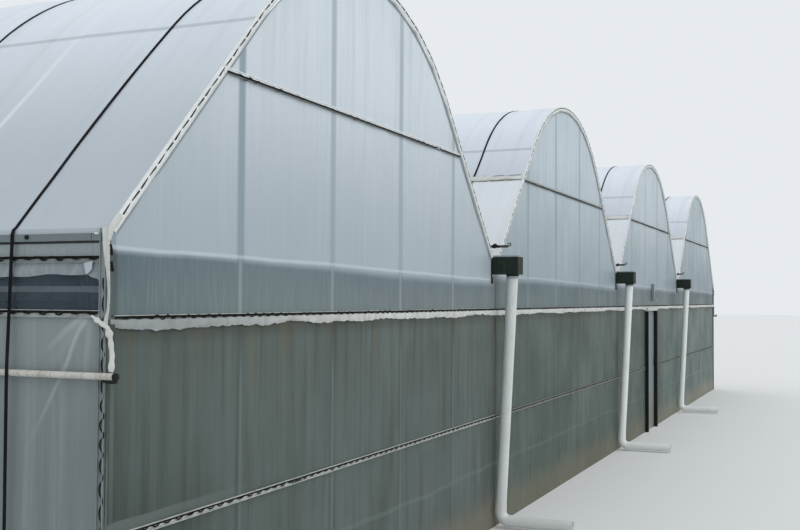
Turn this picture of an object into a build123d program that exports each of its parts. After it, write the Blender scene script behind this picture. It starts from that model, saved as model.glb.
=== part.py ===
"""Multi-span film greenhouse: four arched spans in a row, gutters in the valleys between them.

X runs along the gable fronts, Y runs along the gutters, Z is up.
The origin is at ground level under the middle of the plan, and lengths are in millimetres.
"""
from build123d import *
import os
from math import atan2, cos, radians, sin, tan

# Plan
span_width = 6000
span_count = 4
bay_length = 2500
bay_count = 6
hoops_per_bay = 2

# Heights
ridge_height = 4650
gutter_top = 2690
eave_top = 2590
collar_height = 3558
lock_line_height = 2150
knee_height = 1092
vent_channel_height = 2442
vent_skirt_foot = 2350
vent_rail_height = 2295
curtain_channel_height = 2175
roll_pipe_height = 1878

# Roof arch
crown_radius = 2300
leg_angle = 45
hoop_run_count = 8
film_run_count = 16

# Sheets and gaps
film = 3
seat_gap = 0.3
door_gap = 12

# Frame sections
hoop_size = 40
post_size = 60
gable_post_width = 50
purlin_radius = 16
purlin_side_count = 8
tie_size = 30
vent_rail_size = 30
gable_posts_per_span = 4

# Gutter and eave
gutter_sheet = 4
gutter_width = 160
gutter_floor_width = 100
gutter_depth = 170
gutter_flange = 70
eave_sheet = 4
eave_height = 130
eave_flange = 62
eave_lip_drop = 25
eave_lip_height = 36
eave_lip_reach = 15
eave_end_setback = 85

# Outlet boxes and downpipes
box_reach = 270
box_wall = 5
box_width = 176
box_drop = 12
box_rim = 8
pipe_side_count = 16
pipe_radius = 55
pipe_wall = 3
pipe_bore_depth = 120
pipe_top_reach = 190
pipe_foot_reach = 68
outlet_reach = 800
outlet_height = 75
elbow_radius = 90
elbow_run_count = 4
spigot_radius = 62
spigot_height = 40

# Lock channels
channel_width = 35
channel_depth = 14
channel_sheet = 3
arch_channel_width = 42

# Roll-up side curtain
roll_pipe_radius = 17
roll_pipe_overhang = 86
roll_pipe_bore = 60
roll_pipe_wall = 3
roll_pipe_side_count = 16

# Door in the third span
door_span_index = 2
doorway_width = 845
jamb_width = 50
jamb_reach = 55
door_head_height = 60
leaf_thickness = 40
leaf_rail = 40
leaf_setback = 6
leaf_middle_height = 1050
leaf_film = 3
door_ground_gap = 25
hinge_radius = 5
hinge_stand_off = 8
hinge_plate = 3
leaf_film_margin = 26
knuckle_height = 45
hinge_heights = [330, 1750]
latch_height = 1180
latch_plate_width = 34
latch_plate_height = 150
latch_plate_thickness = 3
lever_radius = 8
lever_side_count = 10
lever_stand_off = 34
lever_length = 105

# Worked out sizes
length = bay_length * bay_count
width = span_width * span_count
half_span = span_width / 2
span_centres = [span_width * (i + 0.5) - width / 2 for i in range(span_count)]
valleys = [span_width * i - width / 2 for i in range(1, span_count)]
hoop_pitch = bay_length / hoops_per_bay
hoop_rows = [hoop_pitch * i - length / 2 for i in range(bay_count * hoops_per_bay + 1)]
post_rows = [bay_length * i - length / 2 for i in range(bay_count + 1)]
crown_centre = ridge_height - crown_radius
frame_face = length / 2 + hoop_size / 2
film_back = frame_face + seat_gap
film_face = film_back + film
channel_back = film_face + seat_gap
hoop_inset = film + seat_gap
gable_post_pitch = span_width / (gable_posts_per_span + 1)


def leg_x(inset, height):
    """Distance from a span's middle to the roof leg, set in from the film face, at a height."""
    radius = crown_radius - inset
    knee_x = radius * sin(radians(leg_angle))
    knee_z = crown_centre + radius * cos(radians(leg_angle))
    return knee_x + (knee_z - height) / tan(radians(leg_angle))


def arch_height(inset, x):
    """Height of the arch, set in from the film face, at a distance from the span's middle."""
    radius = crown_radius - inset
    knee_x = radius * sin(radians(leg_angle))
    if abs(x) <= knee_x:
        return crown_centre + (radius ** 2 - x ** 2) ** 0.5
    knee_z = crown_centre + radius * cos(radians(leg_angle))
    return knee_z - (abs(x) - knee_x) * tan(radians(leg_angle))


def arch_band(plane, outer, inner, left_foot, right_foot):
    """Smooth band between two insets, its straight legs cut off level at the two foot heights."""
    turn = radians(leg_angle)
    with BuildSketch(plane) as band:
        with BuildLine():
            ends = []
            for inset in (outer, inner):
                radius = crown_radius - inset
                knee_x = radius * sin(turn)
                knee_z = crown_centre + radius * cos(turn)
                left = (-leg_x(inset, left_foot), left_foot)
                right = (leg_x(inset, right_foot), right_foot)
                Line(left, (-knee_x, knee_z))
                ThreePointArc((-knee_x, knee_z), (0, crown_centre + radius), (knee_x, knee_z))
                Line((knee_x, knee_z), right)
                ends.append((left, right))
            Line(ends[0][0], ends[1][0])
            Line(ends[0][1], ends[1][1])
        make_face()
    return band.sketch


def crown_points(inset, run_count):
    """Points of the crown's arc, set in from the film face, that part it into equal runs."""
    radius = crown_radius - inset
    turns = [radians(leg_angle * (2 * run / run_count - 1)) for run in range(run_count + 1)]
    return [(radius * sin(turn), crown_centre + radius * cos(turn)) for turn in turns]


def arch_points(inset, left_foot, right_foot):
    """Corners of a hoop bent in short straight runs, from the left foot to the right one."""
    left = (-leg_x(inset, left_foot), left_foot)
    right = (leg_x(inset, right_foot), right_foot)
    return [left, *crown_points(inset, hoop_run_count), right]


def bent_band(plane, outer, inner, left_foot, right_foot):
    """Band between two insets, bent in short straight runs."""
    upper = arch_points(outer, left_foot, right_foot)
    lower = arch_points(inner, left_foot, right_foot)
    with BuildSketch(plane) as band:
        with BuildLine():
            Polyline(*upper, *reversed(lower), close=True)
        make_face()
    return band.sketch


def bent_height(inset, x):
    """Height of a hoop's short straight runs, set in from the film face, at a distance from the middle."""
    points = arch_points(inset, eave_top, eave_top)
    for start, end in zip(points, points[1:]):
        if start[0] <= x <= end[0]:
            share = (x - start[0]) / (end[0] - start[0])
            return start[1] + share * (end[1] - start[1])
    return eave_top


def bent_x(inset, height):
    """Distance from the middle to a hoop's short straight runs, set in from the film face, at a height."""
    points = arch_points(inset, eave_top, eave_top)
    for start, end in zip(points, points[1:]):
        if start[1] <= height <= end[1]:
            share = (height - start[1]) / (end[1] - start[1])
            return -start[0] - share * (end[0] - start[0])
    return 0


def foot_heights(index):
    """Heights at which a span's two legs stop: on the eave beams outside, on gutters inside."""
    left = eave_top if index == 0 else gutter_top
    right = eave_top if index == span_count - 1 else gutter_top
    return left + seat_gap, right + seat_gap


def front_plane(x, y):
    """Plane that faces the front, with its origin on the ground at x, y."""
    return Plane(origin=(x, y, 0), x_dir=(1, 0, 0), z_dir=(0, -1, 0))


def finish(builder, name):
    """Label a finished piece and write it."""
    builder.part.label = name
    export_step(builder.part, "parts/" + name + ".step")


os.makedirs("parts", exist_ok=True)

eave_face = span_centres[-1] + leg_x(0, eave_top)
post_face = eave_face - eave_sheet - seat_gap
leg_top = crown_centre + crown_radius * cos(radians(leg_angle))
lap_height = min(collar_height, leg_top - film - seat_gap)

# Posts of the two side walls, one under each bay's end
with BuildPart() as side_wall_posts:
    with Locations(*[(post_size / 2 - post_face, y, 0) for y in post_rows]):
        Box(post_size, hoop_size, eave_top - eave_sheet - seat_gap,
            align=(Align.CENTER, Align.CENTER, Align.MIN))
    mirror(about=Plane.YZ)
finish(side_wall_posts, "side_wall_posts")

# Posts under the three valley gutters
gutter_underside = gutter_top - gutter_depth - gutter_sheet
with BuildPart() as valley_posts:
    with Locations(*[(x, y, 0) for x in valleys for y in post_rows]):
        Box(post_size, hoop_size, gutter_underside - seat_gap,
            align=(Align.CENTER, Align.CENTER, Align.MIN))
finish(valley_posts, "valley_posts")

# Posts of the gable walls, cut off under the gable hoops
gable_post_offsets = [gable_post_pitch * i - half_span for i in range(1, gable_posts_per_span + 1)]
hoop_inner = hoop_inset + hoop_size


def gable_posts(y):
    """Row of gable posts along one end of the building."""
    for centre in span_centres:
        for offset in gable_post_offsets:
            far_side = abs(offset) + gable_post_width / 2
            height = bent_height(hoop_inner, far_side) - seat_gap
            with Locations((centre + offset, y, 0)):
                Box(gable_post_width, hoop_size, height, align=(Align.CENTER, Align.CENTER, Align.MIN))


with BuildPart() as front_gable_posts:
    gable_posts(-length / 2)
finish(front_gable_posts, "front_gable_posts")

with BuildPart() as back_gable_posts:
    gable_posts(length / 2)
finish(back_gable_posts, "back_gable_posts")

# Hoops of each span
for index, centre in enumerate(span_centres):
    feet = foot_heights(index)
    with BuildPart() as hoops:
        for y in hoop_rows:
            profile = bent_band(front_plane(centre, y), hoop_inset, hoop_inner, *feet)
            extrude(profile, amount=hoop_size / 2, both=True)
    finish(hoops, "hoops_span_" + str(index + 1))

# Ridge and side purlins under the hoops
half_run = leg_angle / hoop_run_count
purlin_turn = leg_angle - half_run
purlin_reach = (crown_radius - hoop_inner) * cos(radians(half_run)) - purlin_radius - seat_gap
ridge_purlin_height = bent_height(hoop_inner, 0) - purlin_radius - seat_gap
purlin_x = purlin_reach * sin(radians(purlin_turn))
side_purlin_height = crown_centre + purlin_reach * cos(radians(purlin_turn))
with BuildPart() as roof_purlins:
    for centre in span_centres:
        for x, height, turn in (
            (centre - purlin_x, side_purlin_height, purlin_turn),
            (centre, ridge_purlin_height, 0),
            (centre + purlin_x, side_purlin_height, -purlin_turn),
        ):
            with BuildSketch(front_plane(0, length / 2 - hoop_size / 2)):
                with Locations((x, height)):
                    RegularPolygon(purlin_radius, purlin_side_count, rotation=turn)
            extrude(amount=length - hoop_size)
finish(roof_purlins, "roof_purlins")

# Collar ties across the inner bay frames
tie_half = bent_x(hoop_inner + seat_gap, collar_height + tie_size / 2)
with BuildPart() as collar_ties:
    for centre in span_centres:
        with Locations(*[(centre, y, collar_height) for y in post_rows[1:-1]]):
            Box(2 * tie_half, tie_size, tie_size)
finish(collar_ties, "collar_ties")

# Valley gutters, folded sheet troughs with a flange each side for the hoop feet
for index, x in enumerate(valleys):
    half_top = gutter_width / 2
    half_floor = gutter_floor_width / 2
    floor = gutter_top - gutter_depth
    with BuildPart() as gutter:
        with BuildSketch(front_plane(x, length / 2 + hoop_size / 2)):
            with BuildLine():
                Polyline(
                    (-half_top - gutter_flange, gutter_top),
                    (-half_top, gutter_top),
                    (-half_floor, floor),
                    (half_floor, floor),
                    (half_top, gutter_top),
                    (half_top + gutter_flange, gutter_top),
                    (half_top + gutter_flange, gutter_top - gutter_sheet),
                    (half_top + gutter_sheet, gutter_top - gutter_sheet),
                    (half_floor + gutter_sheet, floor - gutter_sheet),
                    (-half_floor - gutter_sheet, floor - gutter_sheet),
                    (-half_top - gutter_sheet, gutter_top - gutter_sheet),
                    (-half_top - gutter_flange, gutter_top - gutter_sheet),
                    close=True,
                )
            make_face()
        extrude(amount=length + hoop_size)
    finish(gutter, "valley_gutter_" + str(index + 1))

# Outlet boxes that carry each gutter out through the gable
box_back = frame_face + seat_gap
box_front = film_face + box_reach
box_floor = gutter_top - gutter_depth - box_drop - box_wall
pipe_top_y = film_face + pipe_top_reach
pipe_lean = (pipe_top_reach - pipe_foot_reach) / (box_floor - outlet_height)
spigot_bore = pipe_radius + seat_gap + spigot_height * pipe_lean
box_length = box_front - box_back
rim_length = box_reach - seat_gap + box_rim
with BuildPart() as gutter_boxes_front:
    for x in valleys:
        with Locations((x, -film_face - seat_gap - rim_length / 2, gutter_top)):
            Box(box_width + 2 * box_rim, rim_length, box_rim,
                align=(Align.CENTER, Align.CENTER, Align.MAX))
        with Locations((x, -box_back - box_length / 2, box_floor)):
            Box(box_width, box_length, gutter_top - box_floor, align=(Align.CENTER, Align.CENTER, Align.MIN))
        with Locations((x, -box_back - (box_length - box_wall) / 2, box_floor + box_wall)):
            Box(box_width - 2 * box_wall, box_length - box_wall, gutter_top - box_floor - box_wall,
                align=(Align.CENTER, Align.CENTER, Align.MIN), mode=Mode.SUBTRACT)
        with BuildSketch(Plane(origin=(x, -pipe_top_y, box_floor), z_dir=(0, 0, -1))):
            RegularPolygon(spigot_radius, pipe_side_count)
        extrude(amount=spigot_height)
        with BuildSketch(Plane(origin=(x, -pipe_top_y, box_floor + box_wall), z_dir=(0, 0, -1))):
            RegularPolygon(spigot_bore, pipe_side_count)
        extrude(amount=spigot_height + box_wall, mode=Mode.SUBTRACT)
finish(gutter_boxes_front, "gutter_boxes_front")

with BuildPart() as gutter_boxes_back:
    mirror(gutter_boxes_front.part, about=Plane.XZ)
finish(gutter_boxes_back, "gutter_boxes_back")

# Downpipes that lean back to the wall, with an elbow and an outlet along the ground
pipe_head = box_floor - seat_gap
pipe_foot_y = film_face + pipe_foot_reach
lean_turn = atan2(pipe_top_reach - pipe_foot_reach, pipe_head - outlet_height)
elbow_tangent = elbow_radius * tan((radians(90) + lean_turn) / 2)
elbow_middle_y = pipe_foot_y + elbow_tangent
elbow_turns = [(radians(90) + lean_turn) * run / elbow_run_count for run in range(elbow_run_count + 1)]
elbow_points = [
    (-elbow_middle_y + elbow_radius * cos(turn - lean_turn),
     outlet_height + elbow_radius - elbow_radius * sin(turn - lean_turn))
    for turn in elbow_turns
]
with BuildPart() as downpipes_front:
    for x in valleys:
        route_points = [(-pipe_top_y, pipe_head), *elbow_points, (-film_face - outlet_reach, outlet_height)]
        with BuildLine() as route:
            Polyline(*[(x, y, z) for y, z in route_points])
        with BuildSketch(Plane(origin=route.line @ 0, x_dir=(1, 0, 0), z_dir=route.line % 0)):
            RegularPolygon(pipe_radius, pipe_side_count)
        sweep(path=route.line, transition=Transition.RIGHT)
        with BuildSketch(Plane(origin=route.line @ 1, x_dir=(1, 0, 0), z_dir=(0, 1, 0))):
            RegularPolygon(pipe_radius - pipe_wall, pipe_side_count)
        extrude(amount=pipe_bore_depth, mode=Mode.SUBTRACT)
finish(downpipes_front, "downpipes_front")

with BuildPart() as downpipes_back:
    mirror(downpipes_front.part, about=Plane.XZ)
finish(downpipes_back, "downpipes_back")

# Eave beams of the side walls, with an overhanging lip, stopping short of the corners
eave_bottom = eave_top - eave_height
eave_end = frame_face - eave_end_setback
lip_top = eave_top - eave_lip_drop
with BuildPart() as eave_beams:
    with BuildSketch(front_plane(0, eave_end)):
        with BuildLine():
            Polyline(
                (eave_face - eave_flange, eave_top),
                (eave_face, eave_top),
                (eave_face, lip_top),
                (eave_face + eave_lip_reach, lip_top),
                (eave_face + eave_lip_reach, lip_top - eave_lip_height),
                (eave_face, lip_top - eave_lip_height),
                (eave_face, eave_bottom),
                (eave_face - eave_sheet, eave_bottom),
                (eave_face - eave_sheet, eave_top - eave_sheet),
                (eave_face - eave_flange, eave_top - eave_sheet),
                close=True,
            )
        make_face()
    extrude(amount=2 * eave_end)
    mirror(about=Plane.YZ)
finish(eave_beams, "eave_beams")

# Roof film over each span: down to the eave on the outer slopes, to the lap on the others
for index, centre in enumerate(span_centres):
    left_foot, right_foot = foot_heights(index)
    if index > 0:
        left_foot = lap_height
    with BuildPart() as roof_film:
        extrude(arch_band(front_plane(centre, film_face), 0, film, left_foot, right_foot),
                amount=2 * film_face)
    finish(roof_film, "roof_film_" + str(index + 1))

# Lower film of the left slopes above the valleys
with BuildPart() as valley_slope_films:
    for centre in span_centres[1:]:
        with BuildSketch(front_plane(centre, film_face)):
            with BuildLine():
                Polyline(
                    (-leg_x(0, lap_height - seat_gap), lap_height - seat_gap),
                    (-leg_x(film, lap_height - seat_gap), lap_height - seat_gap),
                    (-leg_x(film, gutter_top + seat_gap), gutter_top + seat_gap),
                    (-leg_x(0, gutter_top + seat_gap), gutter_top + seat_gap),
                    close=True,
                )
            make_face()
        extrude(amount=2 * film_face)
finish(valley_slope_films, "valley_slope_films")


def gable_film(index, y):
    """Film that closes one span's gable above the lock line, notched around the gutters."""
    left_foot, right_foot = foot_heights(index)
    inset = film + seat_gap
    crown = crown_points(inset, film_run_count)
    notch_floor = box_floor - seat_gap
    notch_x = half_span - box_width / 2 - seat_gap
    left_edge = half_span - seat_gap / 2
    right_edge = half_span - seat_gap / 2
    if index == 0:
        left_edge = leg_x(0, eave_top) - eave_sheet - seat_gap
    if index == span_count - 1:
        right_edge = leg_x(0, eave_top) - eave_sheet - seat_gap
    with BuildSketch(front_plane(span_centres[index], y)) as profile:
        with BuildLine():
            if index == span_count - 1:
                right = [(right_edge, arch_height(inset, right_edge))]
            else:
                right = [
                    (notch_x, arch_height(inset, notch_x)),
                    (notch_x, notch_floor),
                    (right_edge, notch_floor),
                ]
            if index == 0:
                left = [(-left_edge, arch_height(inset, left_edge))]
            else:
                left = [
                    (-notch_x, arch_height(inset, notch_x)),
                    (-notch_x, notch_floor),
                    (-left_edge, notch_floor),
                ]
            Polyline(
                *crown,
                *right,
                (right_edge, lock_line_height + seat_gap / 2),
                (-left_edge, lock_line_height + seat_gap / 2),
                *reversed(left),
                close=True,
            )
        make_face()
    extrude(profile.sketch, amount=film)


for index in range(span_count):
    with BuildPart() as front_film:
        gable_film(index, -film_back)
    finish(front_film, "gable_film_front_" + str(index + 1))
    with BuildPart() as back_film:
        gable_film(index, film_face)
    finish(back_film, "gable_film_back_" + str(index + 1))

# Lower film of the gable walls, split beside the doorway, whose left side is a gable post
doorway_half = doorway_width / 2
door_post_x = span_centres[door_span_index] - gable_post_pitch / 2
door_centre = door_post_x + gable_post_width / 2 + doorway_half
film_end = post_face
lower_top = lock_line_height - seat_gap / 2
film_door_edge = doorway_half + seat_gap
film_middle_y = film_back + film / 2
with BuildPart() as lower_film_front_left:
    run = door_centre - film_door_edge + film_end
    with Locations((-film_end + run / 2, -film_middle_y, 0)):
        Box(run, film, lower_top, align=(Align.CENTER, Align.CENTER, Align.MIN))
finish(lower_film_front_left, "lower_film_front_left")

with BuildPart() as lower_film_front_right:
    run = film_end - door_centre - film_door_edge
    with Locations((film_end - run / 2, -film_middle_y, 0)):
        Box(run, film, lower_top, align=(Align.CENTER, Align.CENTER, Align.MIN))
finish(lower_film_front_right, "lower_film_front_right")

with BuildPart() as lower_film_back:
    with Locations((0, film_middle_y, 0)):
        Box(2 * film_end, film, lower_top, align=(Align.CENTER, Align.CENTER, Align.MIN))
finish(lower_film_back, "lower_film_back")

# Side wall film: a skirt under the eave, the curtain below the open vent, and the corners beside both
film_x = post_face + seat_gap + film / 2
curtain_top = curtain_channel_height + channel_width / 2
with BuildPart() as left_side_film:
    with BuildSketch(Plane(origin=(-film_x - film / 2, 0, 0), x_dir=(0, 1, 0), z_dir=(1, 0, 0))):
        with BuildLine():
            Polyline(
                (-frame_face, 0),
                (frame_face, 0),
                (frame_face, eave_top),
                (eave_end + seat_gap, eave_top),
                (eave_end + seat_gap, curtain_top),
                (-eave_end - seat_gap, curtain_top),
                (-eave_end - seat_gap, eave_top),
                (-frame_face, eave_top),
                close=True,
            )
        make_face()
    extrude(amount=film)
    with Locations((-film_x, 0, vent_skirt_foot)):
        Box(film, 2 * eave_end, eave_bottom - seat_gap - vent_skirt_foot,
            align=(Align.CENTER, Align.CENTER, Align.MIN))
finish(left_side_film, "left_side_film")

with BuildPart() as right_side_film:
    mirror(left_side_film.part, about=Plane.YZ)
finish(right_side_film, "right_side_film")

# Rails behind the open vents, carried by the side posts
with BuildPart() as vent_rails:
    with Locations((-post_face + post_size + seat_gap + vent_rail_size / 2, 0, vent_rail_height)):
        Box(vent_rail_size, length, vent_rail_size)
    mirror(about=Plane.YZ)
finish(vent_rails, "vent_rails")

# Roll-up pipes across the side films, lying on the corner channels
side_back = film_x + film / 2 + seat_gap
roll_pipe_x = side_back + channel_depth + seat_gap + roll_pipe_radius
roll_pipe_length = 2 * (film_face + roll_pipe_overhang)
with BuildPart() as roll_up_pipes:
    with BuildSketch(front_plane(-roll_pipe_x, roll_pipe_length / 2)):
        with Locations((0, roll_pipe_height)):
            RegularPolygon(roll_pipe_radius, roll_pipe_side_count)
    extrude(amount=roll_pipe_length)
    for end in (roll_pipe_length / 2, roll_pipe_bore - roll_pipe_length / 2):
        with BuildSketch(front_plane(-roll_pipe_x, end)):
            with Locations((0, roll_pipe_height)):
                RegularPolygon(roll_pipe_radius - roll_pipe_wall, roll_pipe_side_count)
        extrude(amount=roll_pipe_bore, mode=Mode.SUBTRACT)
    mirror(about=Plane.YZ)
finish(roll_up_pipes, "roll_up_pipes")


def channel_run(face, along, amount):
    """Straight lock channel on a film face, open to the outside, along a direction for a length."""
    plane = Plane(origin=face.origin, x_dir=face.z_dir, z_dir=along)
    with BuildSketch(plane) as profile:
        with Locations((channel_depth / 2, 0)):
            Rectangle(channel_depth, channel_width)
        with Locations((channel_sheet + (channel_depth - channel_sheet) / 2, 0)):
            Rectangle(channel_depth - channel_sheet, channel_width - 2 * channel_sheet,
                      mode=Mode.SUBTRACT)
    extrude(profile.sketch, amount=amount)


def gable_channel(outward, start, end):
    """Lock channel on a gable, front or back, from one point of its face to another."""
    along = Vector(end[0] - start[0], 0, end[1] - start[1])
    face = Plane(origin=(start[0], outward * channel_back, start[1]), z_dir=(0, outward, 0))
    channel_run(face, along, along.length)


def gable_channels(outward):
    """Lock channels of a whole gable: the arches, the collars, the lock line and the two corners."""
    arch_y = -channel_back if outward < 0 else channel_back + channel_depth
    for index, centre in enumerate(span_centres):
        arch = bent_band(front_plane(centre, arch_y), 0, arch_channel_width, *foot_heights(index))
        extrude(arch, amount=channel_depth)
        collar_half = bent_x(arch_channel_width, collar_height + channel_width / 2) - seat_gap
        gable_channel(outward, (centre - collar_half, collar_height), (centre + collar_half, collar_height))
    gable_channel(outward, (-channel_end, lock_line_height), (channel_end, lock_line_height))
    for side in (-1, 1):
        corner_x = side * (film_end - channel_width / 2)
        gable_channel(outward, (corner_x, 0), (corner_x, eave_top))


# Lock channels of the two gables, with the knee line that stops beside the doorway
channel_end = film_end - channel_width - seat_gap
jamb_outer = doorway_half + jamb_width
with BuildPart() as lock_channels_front:
    gable_channels(-1)
    knee_stop = jamb_outer + seat_gap
    gable_channel(-1, (-channel_end, knee_height), (door_centre - knee_stop, knee_height))
    gable_channel(-1, (door_centre + knee_stop, knee_height), (channel_end, knee_height))
finish(lock_channels_front, "lock_channels_front")

with BuildPart() as lock_channels_back:
    gable_channels(1)
    gable_channel(1, (-channel_end, knee_height), (channel_end, knee_height))
finish(lock_channels_back, "lock_channels_back")

# Lock channels of the side walls: under the eave, along the curtain's top edge and at the corners
side_channel_end = frame_face - channel_width - seat_gap
with BuildPart() as side_lock_channels:
    for height in (vent_channel_height, curtain_channel_height):
        side_face = Plane(origin=(-side_back, -side_channel_end, height), z_dir=(-1, 0, 0))
        channel_run(side_face, (0, 1, 0), 2 * side_channel_end)
    for y in (channel_width / 2 - frame_face, frame_face - channel_width / 2):
        corner_face = Plane(origin=(-side_back, y, 0), z_dir=(-1, 0, 0))
        channel_run(corner_face, (0, 0, 1), eave_top)
    mirror(about=Plane.YZ)
finish(side_lock_channels, "side_lock_channels")


# Door frame: two dark posts that stand out from the film, and the head between them
jamb_top = lock_line_height - channel_width / 2 - seat_gap
hinge_x = door_centre - doorway_half + door_gap / 2
leaf_front = channel_back - leaf_setback
hinge_y = -leaf_front - hinge_stand_off
knuckle_bottoms = [height - knuckle_height for height in hinge_heights]
with BuildPart() as door_frame:
    with Locations((door_centre, -channel_back - jamb_reach / 2, 0)):
        Box(2 * doorway_half + 2 * jamb_width, jamb_reach, jamb_top,
            align=(Align.CENTER, Align.CENTER, Align.MIN))
        Box(2 * doorway_half, jamb_reach, jamb_top - door_head_height,
            align=(Align.CENTER, Align.CENTER, Align.MIN), mode=Mode.SUBTRACT)
    for bottom in knuckle_bottoms:
        with Locations((hinge_x, hinge_y, bottom)):
            Cylinder(hinge_radius, knuckle_height, align=(Align.CENTER, Align.CENTER, Align.MIN))
        with Locations((hinge_x - door_gap / 2, hinge_y, bottom)):
            Box(door_gap / 2, hinge_plate, knuckle_height, align=(Align.MIN, Align.CENTER, Align.MIN))
finish(door_frame, "door_frame")

# Door leaf: a rail all round, a middle rail and the hinge straps
leaf_half = doorway_half - door_gap
leaf_top = jamb_top - door_head_height - door_gap
leaf_height = leaf_top - door_ground_gap
hinge_plate_reach = door_gap / 2 + leaf_film_margin - seat_gap
leaf_middle_y = -leaf_front + leaf_thickness / 2
with BuildPart() as door_leaf:
    with Locations((door_centre, leaf_middle_y, door_ground_gap)):
        Box(2 * leaf_half, leaf_thickness, leaf_height, align=(Align.CENTER, Align.CENTER, Align.MIN))
    lower_panel = leaf_middle_height - leaf_rail / 2 - door_ground_gap - leaf_rail
    upper_panel = leaf_top - leaf_rail - leaf_middle_height - leaf_rail / 2
    with Locations((door_centre, leaf_middle_y, door_ground_gap + leaf_rail)):
        Box(2 * leaf_half - 2 * leaf_rail, leaf_thickness, lower_panel,
            align=(Align.CENTER, Align.CENTER, Align.MIN), mode=Mode.SUBTRACT)
    with Locations((door_centre, leaf_middle_y, leaf_middle_height + leaf_rail / 2)):
        Box(2 * leaf_half - 2 * leaf_rail, leaf_thickness, upper_panel,
            align=(Align.CENTER, Align.CENTER, Align.MIN), mode=Mode.SUBTRACT)
    for height in hinge_heights:
        with Locations((hinge_x, hinge_y, height + seat_gap)):
            Cylinder(hinge_radius, knuckle_height, align=(Align.CENTER, Align.CENTER, Align.MIN))
        with Locations((hinge_x, -leaf_front, height + seat_gap)):
            Box(hinge_plate_reach, hinge_stand_off, knuckle_height,
                align=(Align.MIN, Align.MAX, Align.MIN))
        with Locations((hinge_x + hinge_radius, -leaf_front - hinge_plate, height + seat_gap)):
            Box(hinge_plate_reach, hinge_stand_off, knuckle_height,
                align=(Align.MIN, Align.MAX, Align.MIN), mode=Mode.SUBTRACT)
finish(door_leaf, "door_leaf")

# Film on the outside of the leaf
with BuildPart() as door_film:
    with Locations((door_centre, -leaf_front - seat_gap, door_ground_gap + leaf_film_margin)):
        Box(2 * leaf_half - 2 * leaf_film_margin, leaf_film, leaf_height - 2 * leaf_film_margin,
            align=(Align.CENTER, Align.MAX, Align.MIN))
finish(door_film, "door_film")

# Latch plate and lever at the free edge of the leaf
latch_x = door_centre + leaf_half - leaf_rail / 2
plate_y = -leaf_front - seat_gap - leaf_film - seat_gap
with BuildPart() as door_latch:
    with Locations((latch_x, plate_y, latch_height)):
        Box(latch_plate_width, latch_plate_thickness, latch_plate_height,
            align=(Align.CENTER, Align.MAX, Align.CENTER))
    with BuildSketch(front_plane(latch_x, plate_y)):
        with Locations((0, latch_height)):
            RegularPolygon(lever_radius, lever_side_count)
    extrude(amount=lever_stand_off + lever_radius)
    with BuildSketch(Plane(origin=(latch_x, plate_y - lever_stand_off, latch_height), z_dir=(-1, 0, 0))):
        RegularPolygon(lever_radius, lever_side_count)
    extrude(amount=lever_length)
finish(door_latch, "door_latch")
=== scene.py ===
"""Dresses the multi-span film greenhouse: its film, spring wire, straps, rain pipes and door.

Lengths are metres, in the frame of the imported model: X runs along the gable fronts, Y from the
front to the back, Z is up, and the origin is on the ground under the middle of the plan.
"""
import logging
import math
from dataclasses import dataclass, replace
from enum import Enum

import bpy
import numpy as np
from mathutils import Matrix, Vector


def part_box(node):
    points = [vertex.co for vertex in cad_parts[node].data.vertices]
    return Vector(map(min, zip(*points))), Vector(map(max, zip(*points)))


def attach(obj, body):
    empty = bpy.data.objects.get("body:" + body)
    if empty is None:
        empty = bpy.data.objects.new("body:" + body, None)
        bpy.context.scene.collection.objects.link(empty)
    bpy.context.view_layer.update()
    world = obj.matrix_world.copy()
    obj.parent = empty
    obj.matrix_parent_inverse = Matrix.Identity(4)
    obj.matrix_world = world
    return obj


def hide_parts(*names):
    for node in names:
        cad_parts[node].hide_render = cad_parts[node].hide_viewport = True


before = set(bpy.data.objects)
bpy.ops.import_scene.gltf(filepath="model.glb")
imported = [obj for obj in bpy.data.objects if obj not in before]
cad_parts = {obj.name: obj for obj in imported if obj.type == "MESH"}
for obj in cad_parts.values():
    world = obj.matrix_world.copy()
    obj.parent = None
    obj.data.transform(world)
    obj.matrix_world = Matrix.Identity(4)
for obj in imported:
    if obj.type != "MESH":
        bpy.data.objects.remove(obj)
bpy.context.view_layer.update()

LOG = logging.getLogger("greenhouse")

Colour = tuple[float, float, float]
Array = np.ndarray
Material = bpy.types.Material
Socket = bpy.types.NodeSocket
Tree = bpy.types.NodeTree


class Body(Enum):
    """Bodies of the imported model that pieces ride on."""

    HOUSE = "house"
    DOOR = "door"


class Slot(Enum):
    """Material slots of the record, which the pieces name."""

    SHEET = "galvanised_sheet"
    ROOF = "roof_film"
    GABLE = "gable_film"
    LOWER = "lower_film"
    SIDE = "side_film"
    DOOR_FILM = "door_film"
    PIPE = "white_pvc"
    CHANNEL = "channel_aluminium"
    ROLL = "roll_pipe"
    DARK = "dark_steel"


class End(Enum):
    """The two gable ends, with the way that each faces along Y."""

    FRONT = -1
    BACK = 1

    @property
    def word(self) -> str:
        """Name of the end in lower case."""
        return self.name.lower()


class Side(Enum):
    """The two side walls, with the way that each faces along X."""

    LEFT = -1
    RIGHT = 1

    @property
    def word(self) -> str:
        """Name of the side in lower case."""
        return self.name.lower()


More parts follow.
